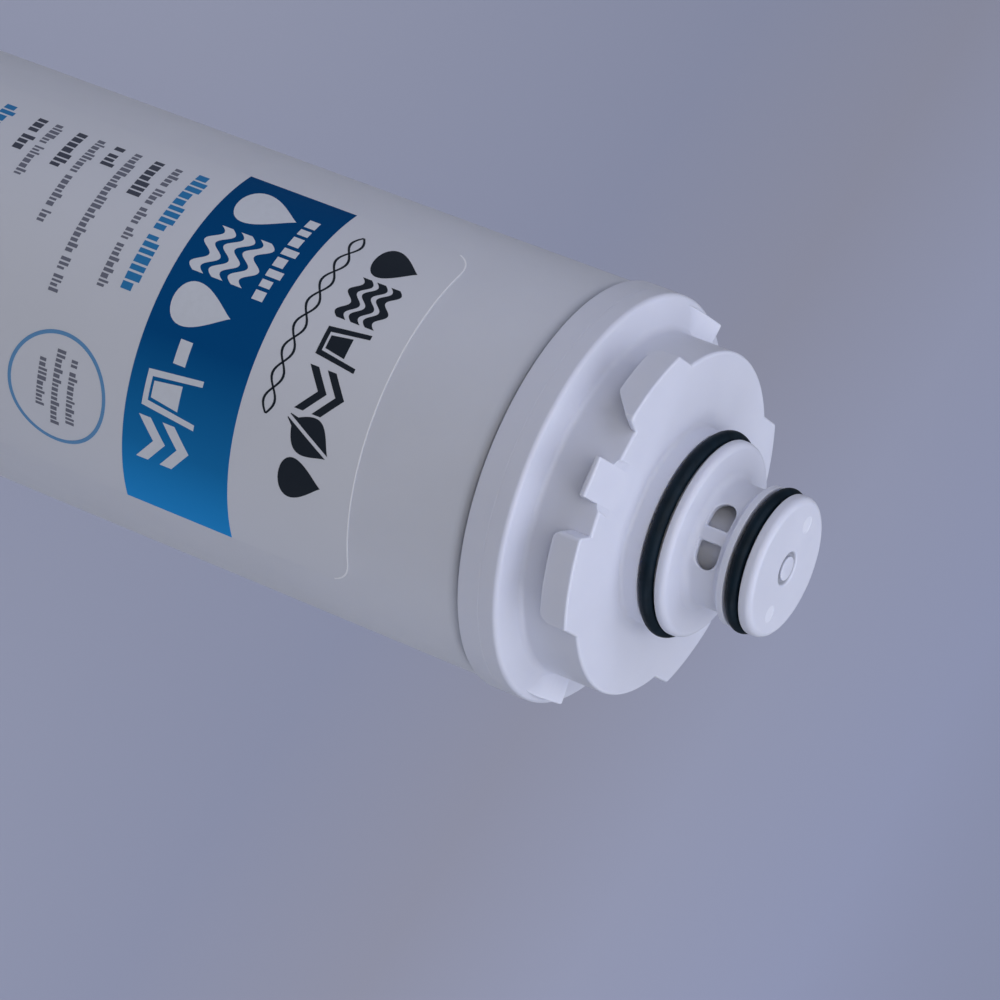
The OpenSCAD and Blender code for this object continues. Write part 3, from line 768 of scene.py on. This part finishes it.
def key_block():
    """The thin tab that runs out of the seat between two lugs, with a web below it."""
    sunk_r = neck_r - 1.5
    edge_r = neck_r - 0.3
    outline = rounded([
        (sunk_r, disc_z - seat_depth(sunk_r) - 0.3), (edge_r, disc_z - seat_depth(edge_r)),
        (key_reach, disc_z - key_fall, 0.5), (key_reach, disc_z - key_fall - key_t, 0.4),
        (neck_r, disc_z - lug_t + 1), (sunk_r, disc_z - lug_t + 1)])
    bm = bmesh.new()
    sides = [[bm.verts.new((x, -r, z)) for r, z in outline] for x in (-key_w / 2, key_w / 2)]
    caps = [bm.faces.new(sides[0]), bm.faces.new(list(reversed(sides[1])))]
    for i in range(len(outline)):
        bm.faces.new((sides[0][i - 1], sides[0][i], sides[1][i], sides[1][i - 1]))
    outward(bm)
    edges = caps[0].edges[:] + caps[1].edges[:]
    bmesh.ops.bevel(bm, geom=edges, offset=0.25, segments=2, profile=0.5, affect="EDGES")
    outward(bm)
    return as_mesh(bm, "key_block")


def key_seat():
    """The seat behind the key block: a sloping floor with a round end, and slopes up to the disc."""
    slope = 1.3
    steps = 24
    out_r = key_reach + 1
    points = []
    for half_w, in_r, above in ((key_w / 2, seat_in, 0), (key_w / 2 + slope, seat_in - 2 * slope, 1)):
        turn = [math.pi * i / steps for i in range(steps + 1)]
        rim = [(half_w * math.cos(a), in_r + half_w * (1 - math.sin(a))) for a in turn]
        for x, r in rim + [(half_w, out_r), (-half_w, out_r)]:
            points.append((x, -r, disc_z if above else disc_z - seat_depth(r)))
            if above:
                points.append((x, -r, disc_z + 1))
    bm = bmesh.new()
    bmesh.ops.convex_hull(bm, input=[bm.verts.new(point) for point in points])
    outward(bm)
    return as_mesh(bm, "key_seat")


def cams():
    """Two cams on the collar's face that rise slowly to a crest and fall steeply behind it."""
    made = []
    rise_n = 10
    for side in (-1, 1):
        rise = [(cam_rise * (1 - i / rise_n) + 0.4, collar_h + cam_h * (i / rise_n) ** 1.9)
                for i in range(1, rise_n + 1)]
        outline = [(-cam_back, collar_h - 0.5), (cam_rise, collar_h - 0.5)] + rise + [(0, collar_h + cam_h)]
        heading = key_angle + 180 + side * cam_angle
        made.append(bent_block("cam", outline, neck_r - 1, cam_r, heading, side, soft=0.3))
    return made


def half_slot(facing, hand):
    """One half of a slot through the stem, beside its bar, with softened edges."""
    soft = 0.35
    sections = []
    for depth in (-0.8, 0.0, 0.03, 0.1, 0.2, soft, None):
        spread = 0
        if depth is not None and depth < soft:
            sunk = max(depth, 0)
            spread = soft - math.sqrt(soft**2 - (soft - sunk) ** 2)
        bar = slot_bar / 2 - spread
        end = slot_half_w + spread
        half_h = slot_h / 2 + spread
        outline = rounded([
            (bar, -half_h, 0.4), (end, -half_h, half_h - 0.01), (end, half_h, half_h - 0.01), (bar, half_h, 0.4)])
        section = []
        for w, h in outline:
            from_axis = (post_r + chamber_r) / 2 if depth is None else stem_r - depth
            section.append((hand * w, facing * math.sqrt(from_axis**2 - w**2), slot_z + h))
        sections.append(section)
    return loft("slot", sections)


def ports():
    """Two curved inlet ports through the disc, on the side away from the key."""
    low = disc_z - disc_t - 1
    outline = [(0, low), (math.radians(port_span) * port_out, low),
               (math.radians(port_span) * port_out, disc_z + 1), (0, disc_z + 1)]
    return [bent_block("port", outline, port_in, port_out, key_angle + 180 + side * port_bar / 2, side, soft=0)
            for side in (-1, 1)]


def ribs():
    """Ribs that brace the socket inside the neck."""
    rib_n = 6
    rib_t = 1.8
    made = []
    for i in range(rib_n):
        bm = bmesh.new()
        bmesh.ops.create_cube(bm, size=1)
        long = neck_r - neck_wall - socket_r
        tall = disc_z - disc_t - collar_h + 1
        shape = Matrix.Diagonal((long, rib_t, tall, 1))
        place = Matrix.Translation((socket_r + 1 + long / 2, 0, collar_h + tall / 2))
        turn = Matrix.Rotation(math.radians(key_angle + 360 * (i + 0.5) / rib_n), 4, "Z")
        bm.transform(turn @ place @ shape)
        made.append(as_mesh(bm, "rib"))
    return made


def ejector_marks():
    """Two shallow round marks in the tip."""
    made = []
    for side in (-1, 1):
        bm = bmesh.new()
        bmesh.ops.create_cone(
            bm, cap_ends=True, segments=40, radius1=mark_r - 0.02, radius2=mark_r + 0.08, depth=1.0,
            matrix=Matrix.Translation((side * mark_reach, 0.5, tip_z - 0.05 + 0.5)))
        made.append(as_mesh(bm, "ejector_mark"))
    return made


def head():
    """The welded head, in metres."""
    body = carved("seated_body", head_body(), ribs(), [key_seat()])
    slots = [half_slot(facing, hand) for facing in (-1, 1) for hand in (-1, 1)]
    mesh = carved("head", body, lugs() + [key_block()] + cams(), slots + ports() + ejector_marks())
    return finished(mesh, seam_z)


def place_camera():
    data = bpy.data.cameras.new("camera")
    data.lens = camera_lens
    data.sensor_width = camera_sensor
    data.clip_end = 20.0
    made = bpy.data.objects.new("camera", data)
    turn = camera_aim.to_track_quat("-Z", "Y").to_matrix().to_4x4()
    made.matrix_world = Matrix.Translation(camera_place) @ turn @ Matrix.Rotation(camera_roll, 4, "Z")
    bpy.context.scene.collection.objects.link(made)
    bpy.context.scene.camera = made


def soft_light(name, heading, rise, away, size, power, colour):
    """A round lamp that faces the head, at a heading from the key and a rise above the level, in degrees."""
    target = Vector((0, 0, 0.27))
    turn = Matrix.Rotation(math.radians(heading), 3, "Z") @ Matrix.Rotation(math.radians(-rise), 3, "X")
    place = target + turn @ Vector((0, -away, 0))
    data = bpy.data.lights.new(name, "AREA")
    data.shape = "DISK"
    data.size = size
    data.energy = power
    data.color = colour
    made = bpy.data.objects.new(name, data)
    made.location = place
    made.rotation_euler = (target - place).to_track_quat("-Z", "Y").to_euler()
    bpy.context.scene.collection.objects.link(made)


def set_stage():
    """Pale floor, pale surroundings and soft lamps."""
    floor_half = 4.0
    data = bpy.data.meshes.new("floor")
    rim = [(-floor_half, -floor_half, 0), (floor_half, -floor_half, 0), (floor_half, floor_half, 0),
           (-floor_half, floor_half, 0)]
    data.from_pydata(rim, [], [(0, 1, 2, 3)])
    floor = show("floor", data)
    f = Finish("floor_paper", FLOOR_BOUNCE, 0.9)
    f.set("Specular IOR Level", 0.1)
    away = f.add("ShaderNodeVectorMath", operation="DOT_PRODUCT")
    away.inputs[1].default_value = (0.4, 1, 0)
    f.link(f.where, away.inputs[0])
    depth = f.add("ShaderNodeMapRange")
    depth.inputs["From Min"].default_value = FLOOR_NEAR
    depth.inputs["From Max"].default_value = FLOOR_FAR
    f.link(away.outputs["Value"], depth.inputs["Value"])
    seen = f.add("ShaderNodeMix", data_type="RGBA")
    seen.inputs["A"].default_value = rgba(FLOOR_BOUNCE)
    f.link(f.ramp(depth.outputs["Result"], FLOOR_SEEN), seen.inputs["B"])
    f.link(f.add("ShaderNodeLightPath").outputs["Is Camera Ray"], seen.inputs["Factor"])
    f.link(seen.outputs["Result"], f.shader.inputs["Base Color"])
    reach = f.add("ShaderNodeVectorMath", operation="LENGTH")
    f.link(f.where, reach.inputs[0])
    haze = f.add("ShaderNodeMapRange", interpolation_type="SMOOTHSTEP")
    haze.inputs["From Min"].default_value = BACKDROP_NEAR
    haze.inputs["From Max"].default_value = BACKDROP_FAR
    f.link(reach.outputs["Value"], haze.inputs["Value"])
    only_seen = f.add("ShaderNodeMath", operation="MULTIPLY")
    f.link(haze.outputs["Result"], only_seen.inputs[0])
    f.link(f.add("ShaderNodeLightPath").outputs["Is Camera Ray"], only_seen.inputs[1])
    glow = f.add("ShaderNodeEmission")
    glow.inputs["Color"].default_value = rgba(BACKDROP_SEEN)
    both = f.add("ShaderNodeMixShader")
    f.link(only_seen.outputs[0], both.inputs["Fac"])
    f.link(f.shader.outputs["BSDF"], both.inputs[1])
    f.link(glow.outputs["Emission"], both.inputs[2])
    f.link(both.outputs["Shader"], f.material.node_tree.nodes["Material Output"].inputs["Surface"])
    data.materials.append(f.material)
    world = bpy.data.worlds.new("studio")
    bpy.context.scene.world = world
    world.use_nodes = True
    tree = world.node_tree
    back = tree.nodes["Background"]
    back.inputs["Color"].default_value = (1, 1, 1, 1)
    back.inputs["Strength"].default_value = 0.1
    seen_back = tree.nodes.new("ShaderNodeBackground")
    seen_back.inputs["Color"].default_value = rgba(BACKDROP_SEEN)
    ray = tree.nodes.new("ShaderNodeLightPath")
    choice = tree.nodes.new("ShaderNodeMixShader")
    tree.links.new(ray.outputs["Is Camera Ray"], choice.inputs["Fac"])
    tree.links.new(back.outputs["Background"], choice.inputs[1])
    tree.links.new(seen_back.outputs["Background"], choice.inputs[2])
    tree.links.new(choice.outputs["Shader"], tree.nodes["World Output"].inputs["Surface"])
    soft_light("top_softbox", 0, 85, 1.6, 2.6, 28.2, (0.835, 0.865, 1.0))
    soft_light("front_fill", 0, 28, 0.75, 0.45, 1.26, (1.0, 0.97, 0.91))
    soft_light("left_fill", -58, 30, 0.75, 0.45, 1.16, (0.70, 0.75, 1.0))
    soft_light("right_fill", 95, 22, 0.9, 0.5, 1.80, (0.76, 0.81, 1.0))


place_camera()
set_stage()
turning = turning_tree()


def wrap_print(g, flat):
    """Adds the nodes that bend flat print round the wall and give it the thickness of ink.

    Flat print lies in the XZ plane, with x as the distance round the wall and z as the height.
    """
    split = g.add("ShaderNodeSeparateXYZ", {"Vector": g.add("GeometryNodeInputPosition").outputs[0]})
    radius = g.given["Radius"]
    angle = g.math("ADD", g.math("DIVIDE", split.outputs["X"], radius), g.given["Turn"])
    across = g.math("MULTIPLY", g.math("SINE", angle), radius)
    back = g.math("MULTIPLY", g.math("MULTIPLY", g.math("COSINE", angle), radius), -1)
    place = g.add("ShaderNodeCombineXYZ", {"X": across, "Y": back, "Z": split.outputs["Z"]})
    bent = g.add("GeometryNodeSetPosition", {"Geometry": flat, "Position": place.outputs[0]}).outputs[0]
    raised = g.add(
        "GeometryNodeExtrudeMesh", {"Mesh": bent, "Offset Scale": g.given["Thickness"], "Individual": False})
    under = g.add("GeometryNodeFlipFaces", {"Mesh": bent})
    both = g.add("GeometryNodeJoinGeometry")
    g.tree.links.new(raised.outputs["Mesh"], both.inputs[0])
    g.tree.links.new(under.outputs[0], both.inputs[0])
    merged = g.add("GeometryNodeMergeByDistance", {"Geometry": both.outputs[0], "Distance": 1e-4})
    dressed = g.add("GeometryNodeSetMaterial", {"Geometry": merged.outputs[0], "Material": g.given["Material"]})
    g.feed(g.result, dressed.outputs[0])


WRAP_INPUTS = {"Radius": "Float", "Turn": "Float", "Thickness": "Float", "Material": "Material"}


def art_tree():
    """Wraps flat shapes round the wall."""
    g = GeometryTree("wrapped_art", WRAP_INPUTS)
    wrap_print(g, g.given["Geometry"])
    return g


def row_tree():
    """Fills a line with small marks of random width and height that stand for words, then wraps it."""
    g = GeometryTree("printed_row", {
        "Start": "Float", "Length": "Float", "Foot": "Float", "Height": "Float", "Shortest": "Float",
        "Longest": "Float", "Gap": "Float", "Space": "Float", "Break Share": "Float", "Seed": "Int",
        **WRAP_INPUTS})
    given = g.given
    seed = given["Seed"]
    points = g.add("GeometryNodePoints", {"Count": 90}).outputs[0]
    width = g.add("FunctionNodeRandomValue", data_type="FLOAT")
    for key, value in {"Min": given["Shortest"], "Max": given["Longest"], "Seed": seed}.items():
        g.feed(next(s for s in width.inputs if s.name == key and s.enabled), value)
    chance = g.add("FunctionNodeRandomValue", data_type="FLOAT")
    g.feed(next(s for s in chance.inputs if s.name == "Seed"), g.math("ADD", seed, 50))
    chance_out = next(s for s in chance.outputs if s.enabled)
    width_out = next(s for s in width.outputs if s.enabled)
    word_end = g.math("LESS_THAN", chance_out, given["Break Share"])
    tall = g.math("GREATER_THAN", chance_out, 0.66)
    step = g.math("ADD", g.math("ADD", width_out, given["Gap"]), g.math("MULTIPLY", word_end, given["Space"]))
    sums = g.add("GeometryNodeAccumulateField", data_type="FLOAT")
    g.feed(next(s for s in sums.inputs if s.enabled and s.name == "Value"), step)
    before = sums.outputs["Trailing"]
    fits = g.math("LESS_THAN", g.math("ADD", before, width_out), given["Length"])
    height = g.math("MULTIPLY", given["Height"], g.math("ADD", g.math("MULTIPLY", tall, 0.28), 0.72))
    across = g.math("ADD", g.math("ADD", given["Start"], before), g.math("DIVIDE", width_out, 2))
    up = g.math("ADD", given["Foot"], g.math("DIVIDE", height, 2))
    place = g.add("ShaderNodeCombineXYZ", {"X": across, "Z": up})
    placed = g.add("GeometryNodeSetPosition", {"Geometry": points, "Position": place.outputs[0]})
    unit = {"Size X": 1.0, "Size Y": 1.0, "Vertices X": 2, "Vertices Y": 2}
    mark = g.add("GeometryNodeMeshGrid", unit).outputs["Mesh"]
    upright = g.add("GeometryNodeTransform", {"Geometry": mark, "Rotation": (math.pi / 2, 0, 0)}).outputs[0]
    size = g.add("ShaderNodeCombineXYZ", {"X": width_out, "Y": 1.0, "Z": height}).outputs[0]
    marks = g.add("GeometryNodeInstanceOnPoints", {
        "Points": placed.outputs[0], "Selection": fits, "Instance": upright, "Scale": size})
    real = g.add("GeometryNodeRealizeInstances", {"Geometry": marks.outputs[0]}).outputs[0]
    wrap_print(g, real)
    return g


def wrap_values(material):
    return {"Radius": print_r, "Turn": label_turn, "Thickness": ink_t, "Material": material}


def wrapped(outlines, material):
    """A mesh of closed outlines of (u, v) points, as print on the wall."""
    bm = bmesh.new()
    for outline in outlines:
        area = sum(a[0] * b[1] - b[0] * a[1] for a, b in zip(outline, outline[1:] + outline[:1]))
        points = outline if area > 0 else list(reversed(outline))
        bm.faces.new([bm.verts.new((u, 0, v)) for u, v in points])
    bmesh.ops.remove_doubles(bm, verts=bm.verts, dist=1e-4)
    bmesh.ops.triangulate(bm, faces=bm.faces)
    cut_in_strips(bm)
    return art.run(as_mesh(bm, "flat_art"), wrap_values(material))


def printed_row(material, seed, start, end, middle, height, marks=(0.4, 0.95), gap=0.34, words=0.17):
    """One line of small marks between two places u, about a height v."""
    return row.run(bpy.data.meshes.new("row"), {
        "Start": start, "Length": end - start, "Foot": middle - height / 2, "Height": height,
        "Shortest": marks[0], "Longest": marks[1], "Gap": gap, "Space": 2.2 * gap, "Break Share": words,
        "Seed": seed, **wrap_values(material)})


def together(name, meshes):
    """Several meshes as one, in metres."""
    bm = bmesh.new()
    for mesh in meshes:
        bm.from_mesh(mesh)
    bm.transform(Matrix.Scale(MM, 4))
    return as_mesh(bm, name)


def ring(u, v, radius, line):
    """A ring as a chain of short fields."""
    steps = 96
    turn = [2 * math.pi * i / steps for i in range(steps)]
    outer = [(u + radius * math.cos(a), v + radius * math.sin(a)) for a in turn]
    inner = [(u + (radius - line) * math.cos(a), v + (radius - line) * math.sin(a)) for a in turn]
    return [[outer[i - 1], outer[i], inner[i], inner[i - 1]] for i in range(steps)]


def droplet(u, v, w, h):
    """A drop that stands on its round end."""
    steps = 40
    turn = [2 * math.pi * i / steps for i in range(steps)]
    return [[(u - 0.7 * w * math.sin(a) * math.sin(a / 2) ** 1.4, v + h / 2 * math.cos(a)) for a in turn]]


def ripples(u, v, w, h, count, line):
    """Wavy lines above each other."""
    steps = 32
    swing = 0.32 * h / count
    shapes = []
    for k in range(count):
        middle = v - h / 2 + (k + 0.5) * h / count
        run = [(u - w / 2 + w * i / steps, middle + swing * math.sin(4 * math.pi * i / steps))
               for i in range(steps + 1)]
        shapes.append([(a, b - line / 2) for a, b in run] + [(a, b + line / 2) for a, b in reversed(run)])
    return shapes


def tumbler(u, v, w, h):
    """A drinking glass that is two thirds full."""
    foot = 0.36 * w
    line = 0.12 * w
    low = v - h / 2
    glass = [(u - w / 2, v + h / 2), (u - foot, low), (u + foot, low), (u + w / 2, v + h / 2),
             (u + w / 2 - line, v + h / 2), (u + foot - line, low + line), (u - foot + line, low + line),
             (u - w / 2 + line, v + h / 2)]
    inside = foot - 1.6 * line
    water = [(u - inside, low + 1.5 * line), (u + inside, low + 1.5 * line),
             (u + inside + 0.09 * w, v + 0.16 * h), (u - inside - 0.09 * w, v + 0.16 * h)]
    return [glass, water]


def chevrons(u, v, w, h, count):
    """Flow marks that point up the axis."""
    pitch = h / count
    shapes = []
    for k in range(count):
        low = v - h / 2 + k * pitch
        arm = 0.42 * w
        shapes.append([(u - w / 2, low), (u, low + arm), (u + w / 2, low), (u + w / 2, low + 0.5 * pitch),
                       (u, low + arm + 0.5 * pitch), (u - w / 2, low + 0.5 * pitch)])
    return shapes


def leaf(u, v, w, h):
    """Two halves of a leaning leaf on both sides of its rib."""
    steps = 20
    gap = 0.05 * w
    lean = Matrix.Rotation(math.radians(-28), 2)
    halves = []
    for side in (-1, 1):
        curve = [(side * (gap + 0.5 * w * math.sin(math.pi * (i / steps) ** 0.85) ** 1.15), -h / 2 + h * i / steps)
                 for i in range(1, steps)]
        half = [(side * gap, h / 2), (side * gap, -0.62 * h), (side * 1.5 * gap, -0.62 * h)] + curve
        halves.append([tuple(Vector((u, v)) + lean @ Vector(point)) for point in half])
    return halves


def box(left, low, right, high):
    return [(left, low), (right, low), (right, high), (left, high)]


def frame_lines(left, low, right, high, line):
    """The outline of a field, as four sides that meet at its corners."""
    outer = box(left, low, right, high)
    inner = box(left + line, low + line, right - line, high - line)
    return [[outer[i - 1], outer[i], inner[i], inner[i - 1]] for i in range(4)]


def black_print():
    """The heavy row of pictograms under the label's top edge, and the thin waves below it."""
    v = 211.5
    h = 9.0
    heavy = (droplet(-26.8, v, 7.6, h) + ripples(-17.4, v, 9.2, h, 3, 1.9) + tumbler(-8.0, v, 7.6, 8.6)
             + chevrons(0.9, v - 0.6, 8.2, 7.4, 2) + leaf(9.3, v + 0.4, 6.8, 9.4) + droplet(17.4, v, 7.6, h))
    thin = ripples(-21.0, 202.0, 19.4, 3.6, 1, 0.5) + ripples(-1.7, 202.0, 19.2, 3.6, 1, 0.5)
    mirrored = [[(u, 404.0 - v) for u, v in shape] for shape in thin]
    return [wrapped(heavy + thin, None), wrapped(mirrored, None)]


def white_print():
    """Pictograms on the band."""
    v = 182.6
    h = 12.6
    large = (droplet(-28.4, v, 8.8, h) + ripples(-16.6, v, 10.4, h, 3, 2.4) + droplet(-5.4, v, 8.6, h)
             + [box(1.0, v - 1.4, 5.6, v + 1.2)] + tumbler(11.4, v, 9.4, 11.6) + chevrons(21.0, v - 0.8, 8.6, 10.4, 2))
    small = printed_row(None, 4, -30.2, -9.6, 192.3, 3.2, (1.4, 2.4), 0.75, 0.0)
    return [wrapped(large, None), small]


def grey_lines():
    """The label's fine print, as rows of small marks."""
    rows = [
        (-2.1, 161.8), (2.2, 152.7), (-9.4, 144.3), (-16.1, 134.6), (4.0, 117.6), (0.5, 113.9), (3.2, 110.2),
        (-1.6, 106.5), (2.4, 102.8), (-12.0, 99.1),
    ]
    return [printed_row(None, 10 + i, margin_u, end, v, 2.1) for i, (end, v) in enumerate(rows)]


def bold_lines():
    rows = [(-20.7, 157.6), (-24.1, 148.7), (-20.1, 140.1), (-20.5, 131.0)]
    return [printed_row(None, 30 + i, margin_u, end, v, 2.8, (0.75, 1.35), 0.38, 0.1)
            for i, (end, v) in enumerate(rows)]


def blue_headings():
    rows = [(-2.1, 167.1), (-8.0, 123.2), (-6.0, 91.0)]
    return [printed_row(None, 40 + i, margin_u - 0.6, end, v, 3.2, (0.9, 1.6), 0.45, 0.08)
            for i, (end, v) in enumerate(rows)]


def sky_marks():
    """The round mark beside the fine print, and fields for dates below it."""
    u, v = 18.5, 158.2
    shapes = ring(u, v, 11.0, 0.75)
    for low in (55.0, 71.0):
        shapes += frame_lines(margin_u, low, 2.0, low + 11.0, 0.45)
    shapes += ripples(u, 116.0, 18.0, 12.0, 3, 1.1) + chevrons(u, 75.0, 15.0, 30.0, 3)
    inside = [printed_row(None, 60 + i, u - half, u + half, v + lift, 1.9, (0.4, 0.8), 0.3, 0.12)
              for i, (half, lift) in enumerate([(6.6, 3.4), (7.6, 0.0), (5.0, -3.4)])]
    return wrapped(shapes, None), inside


def edge_highlight_lines():
    """The film's cut edges at both ends of the label, as fine lines inside its outline, painted brighter than the film
    as a highlight on the bare edge.
    """
    line = 0.22
    half_w = label_w / 2
    outer = rounded([(-half_w, label_low.z, label_round), (half_w, label_low.z, label_round),
                     (half_w, label_high.z, label_round), (-half_w, label_high.z, label_round)], 8)
    middle = Vector((0, (label_low.z + label_high.z) / 2))
    shrink = Vector((1 - line / half_w, 1 - line / (label_high.z - middle.y)))
    inner = [middle + (point - middle) * shrink for point in outer]
    ends = (label_low.z + 0.7 * label_round, label_high.z - 0.7 * label_round)
    strips = [[outer[i - 1], outer[i], inner[i], inner[i - 1]] for i in range(len(outer))
              if not ends[0] < outer[i].y < ends[1] and not ends[0] < outer[i - 1].y < ends[1]
              and abs(outer[i].y - outer[i - 1].y) < label_round]
    return wrapped(strips, None)


def print_label():
    """All print on the label, one piece for each ink."""
    ring_and_fields, ring_rows = sky_marks()
    inks = {
        "label_black_print": (black_print(), ink("black_ink", INK_BLACK)),
        "label_blue_band": ([wrapped([box(-band_half_w, band_low, band_half_w, band_high)], None)], band_ink()),
        "label_blue_headings": (blue_headings(), ink("blue_ink", INK_BLUE)),
        "label_fine_print": (grey_lines() + ring_rows, ink("grey_ink", INK_GREY)),
        "label_bold_print": (bold_lines(), ink("dark_ink", INK_DARK)),
        "label_round_mark": ([ring_and_fields], ink("sky_ink", INK_SKY)),
        # The film's cut edge, painted brighter as a highlight.
        "label_cut_edge": ([edge_highlight_lines()], ink("bare_film", FILM_EDGE_HIGHLIGHT)),
    }
    for name, (meshes, finish) in inks.items():
        piece(name, together(name, meshes), finish)
    white = together("label_white_print", white_print())
    lift_off(white, 0.02)
    piece("label_white_print", white, ink("white_ink", INK_WHITE))


def lift_off(mesh, height):
    """Moves print outwards, so that it lies on the ink below it."""
    for vertex in mesh.vertices:
        outwards = Vector((vertex.co.x, vertex.co.y, 0)).normalized()
        vertex.co += outwards * height * MM


art = art_tree()
row = row_tree()

# The housing's colour carries painted shade towards the joint.
housing_finish = moulded_plastic("housing_plastic", HOUSING_WHITE, 0.42, 0.3, joint_shade_tone)
# The head's colour carries a painted sheen on the tip's marks and painted shade in the nub's groove.
head_finish = moulded_plastic("head_plastic", HEAD_WHITE, 0.40, 0.6, tip_sheen_and_shade)
inner_finish = moulded_plastic("inner_plastic", INNER_WHITE, 0.55, 0)
rubber_finish = seal_rubber()
fleece_finish = fleece()
glue_finish = glue()
dress("label", label_film())
for node in ("spigot_seal_large", "spigot_seal_small", "nozzle_seal_lower", "nozzle_seal_upper"):
    dress(node, rubber_finish)
for node in ("bottom_end_cap", "top_end_cap", "core_tube", "netting_sleeve"):
    dress(node, inner_finish)
for node in ("core_fleece", "prefilter_wrap"):
    dress(node, fleece_finish)
for node in ("bottom_glue_ring", "top_glue_ring"):
    dress(node, glue_finish)
dress("carbon_block", carbon())
dress("housing_sump", housing_finish)
dress("head_cap", head_finish)

piece("housing", housing(), housing_finish, "housing_sump")
piece("bayonet_head", head(), head_finish, "head_cap")
print_label()

bpy.context.scene.view_settings.view_transform = "Standard"
